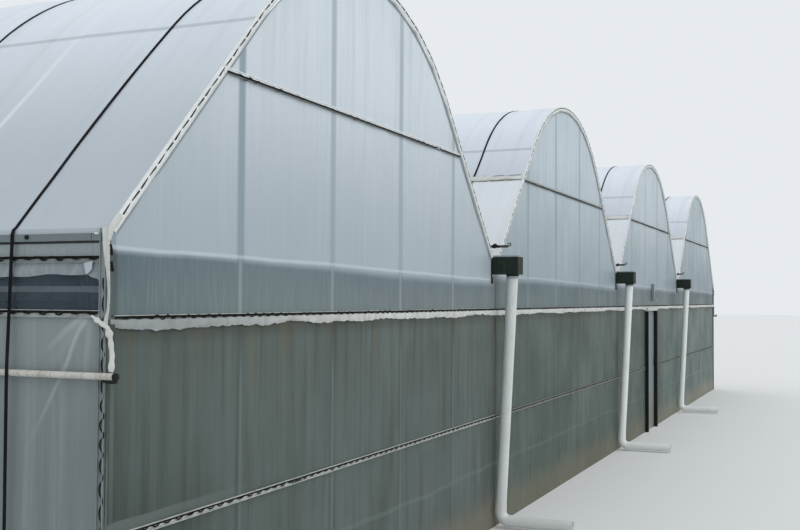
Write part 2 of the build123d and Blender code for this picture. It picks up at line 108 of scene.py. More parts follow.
@dataclass(frozen=True)
class Plan:
    """Main sizes of the house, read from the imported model.

    Args:
        valleys: X of each valley gutter's middle.
        face: distance of the gable film's outer face from the middle, along Y.
        lock_line: height of the lock line where upper and lower gable film meet.
        gutter_top: height of the valley gutters' flanges.
        eave_top: height of the side walls' eave beams.
        ridge: height of the roof film over the crown.
        side_face: distance of the side film's outer face from the middle, along X.
        wall_end: distance of the gable film's outer edge from the middle, along X.
    """

    valleys: tuple[float, ...]
    face: float
    lock_line: float
    gutter_top: float
    eave_top: float
    ridge: float
    side_face: float
    wall_end: float

    @classmethod
    def read(cls) -> "Plan":
        """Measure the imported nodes."""
        gutters = [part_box(name) for name in sorted(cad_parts) if name.startswith("valley_gutter")]
        return cls(
            valleys=tuple((low.x + high.x) / 2 for low, high in gutters),
            face=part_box("gable_film_back_1")[1].y,
            lock_line=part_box("lower_film_back")[1].z,
            gutter_top=gutters[0][1].z,
            eave_top=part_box("eave_beams")[1].z,
            ridge=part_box("roof_film_1")[1].z,
            side_face=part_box("right_side_film")[1].x,
            wall_end=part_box("lower_film_back")[1].x,
        )

    @property
    def span(self) -> float:
        """Width of one span."""
        return self.valleys[1] - self.valleys[0]

    @property
    def centres(self) -> list[float]:
        """X of each span's middle."""
        first = self.valleys[0] - self.span / 2
        return [first + self.span * index for index in range(len(self.valleys) + 1)]


PLAN = Plan.read()

HOOP_PITCH = 1.25
POST_PITCH = 1.2
CROWN_RADIUS = 2.3
LEG_TURN = math.radians(45)
COLLAR_HEIGHT = 3.558
KNEE_HEIGHT = 1.092
VENT_LINE = 2.442
CURTAIN_LINE = 2.175
CHANNEL_WIDTH = 0.035
CHANNEL_DEPTH = 0.014
ARCH_CHANNEL_WIDTH = 0.042
SHEET_THICKNESS = 0.002
CLEARANCE = 0.0006
LAST_SPAN = len(PLAN.centres) - 1
LIP_TOP = PLAN.eave_top - 0.025
EAVE_DEPTH = 0.13
LAP_HEIGHT = COLLAR_HEIGHT + 0.018
LOOSE_FILM = 0.0012
TOUGH_FILM = 0.0015
VALLEY_LOCK_HEIGHT = 2.79
COLLARS_FROM = 3.0
SHARP_ANGLE = math.radians(42)
ACROSS, ALONG, UP = np.eye(3)
SLOPE_OUT = np.array([-math.sin(LEG_TURN), 0, math.cos(LEG_TURN)])
SLOPE_UP = np.array([math.cos(LEG_TURN), 0, math.sin(LEG_TURN)])


@dataclass(frozen=True)
class Crease:
    """One crease that runs down a curtain from near its corner.

    Args:
        turn: its angle from straight down, some way off.
        bend: how much more it turns at its start.
        half: half its width.
        reach: distance at which it has faded out.
        share: its strength.
    """

    turn: float
    bend: float
    half: float
    reach: float
    share: float


CREASES = (Crease(0.52, 0.22, 0.02, 0.9, 0.85), Crease(0.98, 0.2, 0.03, 0.42, 0.7),
           Crease(0.12, 0.0, 0.03, 0.5, 0.35), Crease(0.76, 0.1, 0.05, 0.5, 0.3))
CREASE_PIVOT = PLAN.face - 0.093
CREASE_BEND_REACH = 0.3


def waves(first: Array, second: Array, size: float, seed: int, count: int = 7) -> Array:
    """Soft irregular waves over two coordinates, the same for each seed.

    Args:
        first: one coordinate of each point.
        second: the other coordinate of each point.
        size: typical distance between crests.
        seed: number that picks the pattern.
        count: how many plain waves are added up.

    Returns:
        Values of about -1 to 1, one for each point.
    """
    draw = np.random.default_rng(seed)
    total = np.zeros(np.broadcast(first, second).shape)
    for _ in range(count):
        turn, phase = draw.uniform(0, 2 * np.pi, 2)
        rate = 2 * np.pi * draw.uniform(0.55, 1.7) / size
        total = total + np.sin((first * np.cos(turn) + second * np.sin(turn)) * rate + phase)
    return total / math.sqrt(count)


def ripple(place: Array, size: float, seed: int) -> Array:
    """Soft irregular waves over one coordinate."""
    return waves(place, place * 0, size, seed)


def grid(*parts: object) -> Array:
    """Points whose coordinates are given one by one, each an array or a plain value."""
    return np.stack(np.broadcast_arrays(*parts), axis=-1)


def smooth_step(value: Array, low: float, high: float) -> Array:
    """Rise from 0 to 1 between two values, with soft ends."""
    share = np.clip((value - low) / (high - low), 0, 1)
    return share * share * (3 - 2 * share)


@dataclass(frozen=True)
class Arch:
    """Outline of a span's roof: a crown on a circle between two straight legs."""

    ridge: float = PLAN.ridge
    radius: float = CROWN_RADIUS
    turn: float = LEG_TURN

    @property
    def centre(self) -> float:
        """Height of the crown's centre."""
        return self.ridge - self.radius

    def reach(self, height: float, inset: float = 0.0) -> float:
        """Distance of a leg from the span's middle at a height."""
        radius = self.radius - inset
        knee = self.centre + radius * math.cos(self.turn)
        return radius * math.sin(self.turn) + (knee - height) / math.tan(self.turn)

    def height(self, across: Array, inset: float = 0.0) -> Array:
        """Height of the outline at distances from the span's middle.

        Args:
            across: the distances, to either side.
            inset: how far inside the outline.

        Returns:
            One height for each distance.
        """
        radius = self.radius - inset
        knee_x = radius * math.sin(self.turn)
        knee_z = self.centre + radius * math.cos(self.turn)
        far = np.abs(across)
        crown = self.centre + np.sqrt(np.maximum(radius ** 2 - np.minimum(far, knee_x) ** 2, 0))
        return np.where(far <= knee_x, crown, knee_z - (far - knee_x) * math.tan(self.turn))

    def line(self, left_foot: float, right_foot: float, step: float) -> tuple[Array, Array]:
        """Points along the outline from the left foot to the right one.

        Args:
            left_foot: height of the left foot.
            right_foot: height of the right foot.
            step: longest distance between points.

        Returns:
            The points and the outward normals, each as rows of X and Z.
        """
        knee_x = self.radius * math.sin(self.turn)
        knee_z = self.centre + self.radius * math.cos(self.turn)
        runs = []
        for foot, way in ((left_foot, -1), (right_foot, 1)):
            length = (knee_z - foot) / math.sin(self.turn)
            share = np.linspace(0, 1, max(2, math.ceil(length / step)) + 1)
            x = way * (self.reach(foot) + (knee_x - self.reach(foot)) * share)
            z = foot + (knee_z - foot) * share
            normal = np.tile([way * math.sin(self.turn), math.cos(self.turn)], (len(share), 1))
            runs.append((grid(x, z)[:-1], normal[:-1]))
        turns = np.linspace(-self.turn, self.turn, math.ceil(2 * self.turn * self.radius / step) + 1)
        normals = grid(np.sin(turns), np.cos(turns))
        crown = normals * self.radius + [0, self.centre]
        points = np.vstack([runs[0][0], crown, runs[1][0][::-1]])
        return points, np.vstack([runs[0][1], normals, runs[1][1][::-1]])


ARCH = Arch()


def feet(index: int) -> tuple[float, float]:
    """Heights of a span's two feet: on the eave outside, on a gutter inside."""
    left = PLAN.eave_top if index == 0 else PLAN.gutter_top
    right = PLAN.eave_top if index == LAST_SPAN else PLAN.gutter_top
    return left, right


def unit(ahead: Array) -> Array:
    """Directions made one long."""
    return ahead / np.linalg.norm(ahead, axis=1, keepdims=True)


def walked(path: Array) -> Array:
    """Distance along a path from its first point to each one."""
    return np.concatenate([[0], np.cumsum(np.linalg.norm(np.diff(path, axis=0), axis=1))])


def sections(path: Array, up: Array) -> tuple[Array, Array]:
    """Two directions square to a path at each of its points: sideways, and towards up."""
    ahead = unit(np.gradient(path, axis=0))
    aside = unit(np.cross(ahead, np.asarray(up, float)))
    return aside, np.cross(aside, ahead)


class Shape:
    """Gathers the points and faces of one piece and turns them into a Blender object."""

    def __init__(self) -> None:
        """Start with nothing."""
        self.points: list[Array] = []
        self.faces: list[list[int]] = []
        self.count = 0

    def take(self, points: Array) -> Array:
        """Keep a grid of points and return their numbers, in the same grid."""
        index = self.count + np.arange(points.size // 3).reshape(points.shape[:-1])
        self.points.append(points.reshape(-1, 3))
        self.count += index.size
        return index

    def rings(self, path: Array, radii: Array, aside: Array, over: Array, sides: int,
              flat: float = 1.0) -> Array:
        """Keep the points of round sections along a path.

        Args:
            path: middle of each section.
            radii: radius of each section.
            aside: one direction across the path at each section.
            over: the other direction.
            sides: number of sides.
            flat: how thick a section is along over, as a share of its width.

        Returns:
            The numbers of the points, one row for each section, with the first point again at its end.
        """
        turn = np.arange(sides) * 2 * np.pi / sides
        ring = np.cos(turn)[None, :, None] * aside[:, None] + flat * np.sin(turn)[None, :, None] * over[:, None]
        index = self.take(path[:, None] + radii[:, None, None] * ring)
        return np.column_stack([index, index[:, 0]])

    def quads(self, index: Array, flip: bool = False) -> None:
        """Join a grid of point numbers with faces.

        Args:
            index: the grid of point numbers.
            flip: whether the faces look the other way.
        """
        corners = [index[:-1, :-1], index[1:, :-1], index[1:, 1:], index[:-1, 1:]]
        if flip:
            corners.reverse()
        self.faces.extend(np.stack(corners, axis=-1).reshape(-1, 4).tolist())

    def slab(self, outer: Array, inner: Array) -> None:
        """Closed sheet between two like grids of points.

        Args:
            outer: grid of points on the outer face, rows by columns by 3.
            inner: the same grid on the inner face.
        """
        rows, columns = outer.shape[:2]
        top, bottom = self.take(outer), self.take(inner)
        middle = (rows // 2, columns // 2)
        ahead = outer[middle] - outer[middle[0] - 1, middle[1]]
        aside = outer[middle] - outer[middle[0], middle[1] - 1]
        flip = bool(np.dot(np.cross(ahead, aside), outer[middle] - inner[middle]) < 0)
        self.quads(top, flip)
        self.quads(bottom, not flip)
        self.quads(np.stack([top[:, 0], bottom[:, 0]]), flip)
        self.quads(np.stack([top[:, -1], bottom[:, -1]]), not flip)
        self.quads(np.stack([top[0], bottom[0]]), not flip)
        self.quads(np.stack([top[-1], bottom[-1]]), flip)

    def tube(self, path: Array, radius: float | Array, sides: int, up: Array,
             flat: float = 1.0) -> None:
        """Closed round bar along a path.

        Args:
            path: points that the middle follows.
            radius: radius, the same all along or one for each point.
            sides: number of sides of the section.
            up: direction that is never along the path.
            flat: how thick the section is along up, as a share of its width.
        """
        index = self.rings(path, np.broadcast_to(radius, len(path)), *sections(path, up), sides, flat)
        self.quads(index, flip=True)
        self.faces += [index[0, :-1].tolist(), index[-1, -2::-1].tolist()]

    def lathe(self, path: Array, radii: Array, sides: int, up: Array) -> None:
        """Hollow round section along a closed run of points and radii, such as a pipe with its bore.

        Args:
            path: points on the middle line, out along the outside and back along the inside.
            radii: radius at each of the points.
            sides: number of sides of the section.
            up: direction that is never along the path.
        """
        half = len(path) // 2
        aside, over = sections(path[:half], up)
        aside, over = (np.vstack([part, part[::-1]]) for part in (aside, over))
        index = self.rings(path, radii, aside, over, sides)
        self.quads(np.vstack([index, index[:1]]), flip=True)

    def film(self, wall: End | Side, along: Array, z: Array, out: Array, thick: float) -> None:
        """Closed sheet of film on a wall.

        Args:
            wall: gable or side wall that it is on.
            along: places along the wall.
            z: heights.
            out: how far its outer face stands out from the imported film's.
            thick: its thickness.
        """
        faces = []
        for lift in (out, out - thick):
            if isinstance(wall, End):
                faces.append(grid(along, wall.value * (PLAN.face + lift), z))
            else:
                faces.append(grid(wall.value * (PLAN.side_face + lift), along, z))
        self.slab(*faces)

    def block(self, low: tuple[float, float, float], high: tuple[float, float, float]) -> None:
        """Box between two corners."""
        outer = np.array([[(x, high[1], z) for x in (low[0], high[0])] for z in (low[2], high[2])])
        inner = np.array([[(x, low[1], z) for x in (low[0], high[0])] for z in (low[2], high[2])])
        self.slab(outer, inner)

    def make(self, name: str, slot: Slot, finish: Material, body: Body = Body.HOUSE) -> bpy.types.Object:
        """Turn what was gathered into a piece that rides on a body.

        Args:
            name: name of the piece.
            slot: not used.
            finish: its material.
            body: body that it moves with.

        Returns:
            The new object.
        """
        mesh = bpy.data.meshes.new(name)
        mesh.from_pydata(np.vstack(self.points).tolist(), [], self.faces)
        mesh.polygons.foreach_set("use_smooth", np.ones(len(mesh.polygons), dtype=bool))
        mesh.set_sharp_from_angle(angle=SHARP_ANGLE)
        mesh.materials.append(finish)
        mesh.update()
        piece = bpy.data.objects.new(name, mesh)
        bpy.context.scene.collection.objects.link(piece)
        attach(piece, body.value)
        LOG.info("%s: %d faces", name, len(mesh.polygons))
        return piece


class Effect(Enum):
    """Effects that several finishes share, each a node group."""

    STREAKS = "vertical streaks"
    BLOTCHES = "blotches"
    LINES = "repeated lines"
    BAND = "height band"
    CRINKLE = "film crinkle"
    FAN = "fanned crease"


class Graph:
    """Adds nodes to one node tree with short calls."""

    def __init__(self, tree: Tree) -> None:
        """Work on a node tree."""
        self.tree = tree

    def node(self, kind: str, **settings: object) -> bpy.types.Node:
        """Add a node and set its own properties."""
        added = self.tree.nodes.new(kind)
        for name, value in settings.items():
            setattr(added, name, value)
        return added

    def feed(self, socket: Socket, value: object) -> None:
        """Link a socket to another one, or give it a plain value.

        Args:
            socket: the input to feed.
            value: a socket, a number or a colour.
        """
        if isinstance(value, Socket):
            self.tree.links.new(value, socket)
        elif isinstance(value, tuple) and socket.type == "RGBA":
            socket.default_value = (*value, 1.0)
        else:
            socket.default_value = value

    def math(self, operation: str, first: object, second: object = 0.0,
             clamp: bool = False) -> Socket:
        """Result of a plain sum on one or two values."""
        added = self.node("ShaderNodeMath", operation=operation, use_clamp=clamp)
        self.feed(added.inputs[0], first)
        self.feed(added.inputs[1], second)
        return added.outputs[0]

    def times(self, first: object, second: object) -> Socket:
        """Product of two values."""
        return self.math("MULTIPLY", first, second)

    def over(self, first: object, second: object) -> Socket:
        """One value divided by another."""
        return self.math("DIVIDE", first, second)

    def plus(self, first: object, second: object) -> Socket:
        """Sum of two values."""
        return self.math("ADD", first, second)

    def less(self, first: object, second: object) -> Socket:
        """One value less another."""
        return self.math("SUBTRACT", first, second)

    def rest(self, value: object) -> Socket:
        """What a value leaves of 1."""
        return self.less(1.0, value)

    def vector(self, operation: str, first: object, second: object) -> Socket:
        """Result of a sum on two vectors."""
        added = self.node("ShaderNodeVectorMath", operation=operation)
        self.feed(added.inputs[0], first)
        self.feed(added.inputs[1], second)
        return added.outputs[0]

    def join(self, x: object, y: object, z: object) -> Socket:
        """Vector made of three values."""
        added = self.node("ShaderNodeCombineXYZ")
        for socket, value in zip(added.inputs, (x, y, z)):
            self.feed(socket, value)
        return added.outputs[0]

    def place(self) -> tuple[Socket, Socket]:
        """Coordinates of the surface in the house's frame, whole and split into X, Y and Z."""
        whole = self.node("ShaderNodeTexCoord").outputs["Object"]
        split = self.node("ShaderNodeSeparateXYZ")
        self.feed(split.inputs[0], whole)
        return whole, split.outputs

    def noise(self, where: object, detail: float = 3.0, roughness: float = 0.55) -> Socket:
        """Soft noise at scale 1.

        Args:
            where: coordinates, in units of the noise's grain.
            detail: how many finer layers it has.
            roughness: strength of the finer layers.

        Returns:
            The noise, about 0 to 1.
        """
        added = self.node("ShaderNodeTexNoise")
        self.feed(added.inputs["Vector"], where)
        self.feed(added.inputs["Scale"], 1.0)
        self.feed(added.inputs["Detail"], detail)
        self.feed(added.inputs["Roughness"], roughness)
        return added.outputs["Fac"]

    def ramp(self, value: object, low: object, high: object) -> Socket:
        """Rise from 0 to 1 between two values, with soft ends.

        Args:
            value: what it follows.
            low: value where it leaves 0.
            high: value where it reaches 1.

        Returns:
            The share, 0 to 1.
        """
        added = self.node("ShaderNodeMapRange", interpolation_type="SMOOTHSTEP")
        self.feed(added.inputs["Value"], value)
        self.feed(added.inputs["From Min"], low)
        self.feed(added.inputs["From Max"], high)
        return added.outputs["Result"]

    def mix(self, factor: object, first: object, second: object, blend: str = "MIX") -> Socket:
        """Mixture of two colours.

        Args:
            factor: share of the second.
            first: one colour.
            second: the other colour.
            blend: Blender's name for how they mix.

        Returns:
            The new colour.
        """
        added = self.node("ShaderNodeMix", data_type="RGBA", blend_type=blend)
        self.feed(added.inputs[0], factor)
        self.feed(added.inputs[6], first)
        self.feed(added.inputs[7], second)
        return added.outputs[2]

    def paint(self, below: object, above: object, mask: object, share: object) -> Socket:
        """One colour laid over another where a mask is, as strong as a share."""
        return self.mix(self.times(mask, share), below, above)

    def dress(self, shader: bpy.types.Node, **values: object) -> None:
        """Feed a shader's inputs, named with underscores for spaces."""
        for name, value in values.items():
            self.feed(shader.inputs[name.replace("_", " ")], value)

    def bump(self, height: object, strength: float, distance: float) -> Socket:
        """Normal of a surface with small heights."""
        added = self.node("ShaderNodeBump")
        self.dress(added, Height=height, Strength=strength, Distance=distance)
        return added.outputs["Normal"]

    def blend(self, factor: object, first: object, second: object) -> Socket:
        """Mixture of two values.

        Args:
            factor: share of the second.
            first: one value.
            second: the other value.

        Returns:
            The new value.
        """
        added = self.node("ShaderNodeMix", data_type="FLOAT")
        self.feed(added.inputs[0], factor)
        self.feed(added.inputs[2], first)
        self.feed(added.inputs[3], second)
        return added.outputs[0]

    def use(self, effect: Effect, **inputs: object) -> Socket:
        """Place a shared effect, feed its inputs by name and return its output."""
        added = self.node("ShaderNodeGroup", node_tree=EFFECTS.tree(effect))
        for name, value in inputs.items():
            self.feed(added.inputs[name], value)
        return added.outputs[0]


class EffectLibrary:
    """Builds each shared node group once."""

    def __init__(self) -> None:
        """Start with no group built."""
        self.trees: dict[Effect, Tree] = {}

    def tree(self, effect: Effect) -> Tree:
        """Node group of an effect, built on first use.

        Args:
            effect: the effect.

        Returns:
            Its node group.
        """
        if effect not in self.trees:
            builders = {
                Effect.STREAKS: self.streaks,
                Effect.BLOTCHES: self.blotches,
                Effect.LINES: self.lines,
                Effect.BAND: self.band,
                Effect.CRINKLE: self.crinkle,
                Effect.FAN: self.fan,
            }
            self.trees[effect] = builders[effect](effect)
        return self.trees[effect]

    @staticmethod
    def start(effect: Effect, result: str, **values: float) -> tuple[Graph, dict, Socket]:
        """Empty group with named value inputs and one value output.

        Args:
            effect: the effect that the group is for.
            result: name of its output.
            values: its inputs and their usual values.

        Returns:
            The graph, its inputs by name and the socket that takes the result.
        """
        tree = bpy.data.node_groups.new(effect.value, "ShaderNodeTree")
        for name, value in values.items():
            socket = tree.interface.new_socket(name, in_out="INPUT", socket_type="NodeSocketFloat")
            socket.default_value = value
        tree.interface.new_socket(result, in_out="OUTPUT", socket_type="NodeSocketFloat")
        graph = Graph(tree)
        entry = graph.node("NodeGroupInput").outputs
        leave = graph.node("NodeGroupOutput").inputs[0]
        return graph, {name: entry[name] for name in values}, leave

    def streaks(self, effect: Effect) -> Tree:
        """Mask of streaks that run down a wall.

        Args:
            effect: names the group.

        Returns:
            The node group.
        """
        graph, given, leave = self.start(effect, "Mask", Width=0.03, Length=1.2, Low=0.45, High=0.7, Seed=0.0,
                                         Across=1.0)
        _, (x, y, z) = graph.place()
        x = graph.times(x, given["Across"])
        along = graph.over(graph.plus(x, graph.times(y, 0.83)), given["Width"])
        down = graph.over(z, given["Length"])
        noise = graph.noise(graph.join(along, down, given["Seed"]), 4.0, 0.6)
        graph.feed(leave, graph.ramp(noise, given["Low"], given["High"]))
        return graph.tree

    def blotches(self, effect: Effect) -> Tree:
        """Mask of soft patches of any direction.

        Args:
            effect: names the group.

        Returns:
            The node group.
        """
        graph, given, leave = self.start(effect, "Mask", Size=0.4, Low=0.4, High=0.65, Seed=0.0)
        whole, _ = graph.place()
        shifted = graph.vector("ADD", whole, graph.join(given["Seed"], given["Seed"], given["Seed"]))
        size = graph.join(given["Size"], given["Size"], given["Size"])
        noise = graph.noise(graph.vector("DIVIDE", shifted, size), 5.0, 0.62)
        graph.feed(leave, graph.ramp(noise, given["Low"], given["High"]))
        return graph.tree

    def lines(self, effect: Effect) -> Tree:
        """Mask of soft lines that repeat at a pitch along a coordinate.

        Args:
            effect: names the group.

        Returns:
            The node group.
        """
        graph, given, leave = self.start(effect, "Mask", Along=0.0, Pitch=1.0, Half=0.02, Soft=0.02)
        turns = graph.over(given["Along"], given["Pitch"])
        off = graph.math("ABSOLUTE", graph.less(turns, graph.math("ROUND", turns)))
        away = graph.times(off, given["Pitch"])
        far = graph.plus(given["Half"], given["Soft"])
        graph.feed(leave, graph.rest(graph.ramp(away, given["Half"], far)))
        return graph.tree

    def band(self, effect: Effect) -> Tree:
        """Mask of a level band between two heights with a wavy edge.

        Args:
            effect: names the group.

        Returns:
            The node group.
        """
        graph, given, leave = self.start(effect, "Mask", Low=0.0, High=1.0, Soft=0.01, Wave=0.0, Size=0.5,
                                         Shift=0.0)
        _, (x, y, z) = graph.place()
        along = graph.over(graph.plus(x, y), given["Size"])
        noise = graph.noise(graph.join(along, 0.0, 0.0), 3.0, 0.55)
        shift = graph.times(graph.less(noise, 0.5), given["Wave"])
        height = graph.plus(graph.plus(z, shift), given["Shift"])
        above = graph.ramp(height, graph.less(given["Low"], given["Soft"]), given["Low"])
        below = graph.ramp(height, given["High"], graph.plus(given["High"], given["Soft"]))
        graph.feed(leave, graph.math("SUBTRACT", above, below, clamp=True))
        return graph.tree

    def crinkle(self, effect: Effect) -> Tree:
        """Height of the fine wrinkles in stretched film.

        Args:
            effect: names the group.

        Returns:
            The node group.
        """
        graph, given, leave = self.start(effect, "Height", Size=0.12, Stretch=3.0, Across=1.0)
        _, (x, y, z) = graph.place()
        x = graph.times(x, given["Across"])
        across = graph.over(graph.plus(x, graph.times(y, 0.7)), given["Size"])
        tall = graph.times(given["Size"], given["Stretch"])
        down = graph.over(z, tall)
        away = graph.over(y, tall)
        where = graph.join(across, away, down)
        cells = graph.node("ShaderNodeTexVoronoi", feature="DISTANCE_TO_EDGE")
        graph.feed(cells.inputs["Vector"], where)
        graph.feed(cells.inputs["Scale"], 0.6)
        crease = graph.ramp(cells.outputs["Distance"], 0.0, 0.12)
        graph.feed(leave, graph.plus(graph.noise(where, 4.0, 0.6), graph.times(crease, 0.25)))
        return graph.tree

    def fan(self, effect: Effect) -> Tree:
        """Mask of one crease that runs down a side wall from a point near each of its ends.

        Args:
            effect: names the group.

        Returns:
            The node group.
        """
        graph, given, leave = self.start(effect, "Mask", Pivot=1.0, Top=1.0, Turn=0.5, Bend=0.3, Half=0.02,
                                         Reach=1.0)
        _, (_, y, z) = graph.place()
        away = graph.less(given["Pivot"], graph.math("ABSOLUTE", y))
        down = graph.less(given["Top"], z)
        turn = graph.math("ARCTAN2", away, down)
        far = graph.math("POWER", graph.plus(graph.times(away, away), graph.times(down, down)), 0.5)
        straight = graph.rest(graph.ramp(far, 0.0, CREASE_BEND_REACH))
        middle = graph.plus(given["Turn"], graph.times(given["Bend"], straight))
        off = graph.times(graph.math("ABSOLUTE", graph.less(turn, middle)), far)
        line = graph.rest(graph.ramp(off, 0.0, given["Half"]))
        fade = graph.rest(graph.ramp(far, 0.1, given["Reach"]))
        share = graph.times(line, graph.times(fade, graph.ramp(far, 0.01, 0.06)))
        graph.feed(leave, share)
        return graph.tree


EFFECTS = EffectLibrary()


def new_material(name: str) -> tuple[Material, Graph, bpy.types.Node]:
    """Empty material with a Principled shader.

    Args:
        name: name of the material.

    Returns:
        The material, its graph and its shader node.
    """
    material = bpy.data.materials.new(name)
    material.use_nodes = True
    shader = material.node_tree.nodes["Principled BSDF"]
    return material, Graph(material.node_tree), shader


WHITE = (1.0, 1.0, 1.0)
VALLEY_SHADOW_BLACK = (0.02, 0.018, 0.013)
SOIL = (0.25, 0.21, 0.15)
CLEAR_FOOT = (0.17, 0.21, 0.2)
CLEAR_NEAR_DIM = (0.72, 0.76, 0.8)
CLEAR_CLOUD = (0.19, 0.245, 0.25)
VALLEY_SHADE = (0.055, 0.06, 0.05)
STAIN = (0.15, 0.115, 0.06)
POST_PALE = (0.2, 0.25, 0.245)
POST_STAIN = (0.085, 0.06, 0.025)
KNEE_WEDGE = (0.19, 0.225, 0.215)
CORNER_DIM = (0.68, 0.69, 0.67)
UNDER_LOCK_LINE_DARK = (0.07, 0.065, 0.05)
UNDER_LIP_SHADOW = (0.02, 0.024, 0.022)
CHANNEL_GRIT = (0.12, 0.12, 0.1)
COLLAR_LIP_SHADE = (0.2, 0.215, 0.21)
COLLAR_LIP_HIGHLIGHT = (0.95, 0.97, 0.98)
VENT_CHANNEL_DIM = (0.6, 0.62, 0.62)
CHANNEL_NEXT_DIM = (0.62, 0.64, 0.62)
GROOVE_NEXT_LIFT = (8.0, 8.0, 8.0)
SKY = (0.93, 0.965, 1.0)


def dimmed(graph: Graph, colour: object, x: object, next_dim: Colour, far_dim: Colour = WHITE,
           near_dim: Colour = WHITE) -> object:
    """Multiply a colour on the spans after the first, and towards the last valley and the left corner.

    Args:
        graph: graph of the material.
        colour: colour so far.
        x: coordinate across the house.
        next_dim: factor from the first valley on.
        far_dim: factor reached at the last valley.
        near_dim: factor at the left corner.

    Returns:
        The new colour.
    """
    for dim, start, stop in ((next_dim, -0.03, 0.03), (far_dim, 8.9, 12.2), (near_dim, -2.6, -6.0)):
        if dim != WHITE:
            share = graph.ramp(x, PLAN.valleys[0] + start, PLAN.valleys[0] + stop)
            colour = graph.mix(share, colour, dim, "MULTIPLY")
    return colour


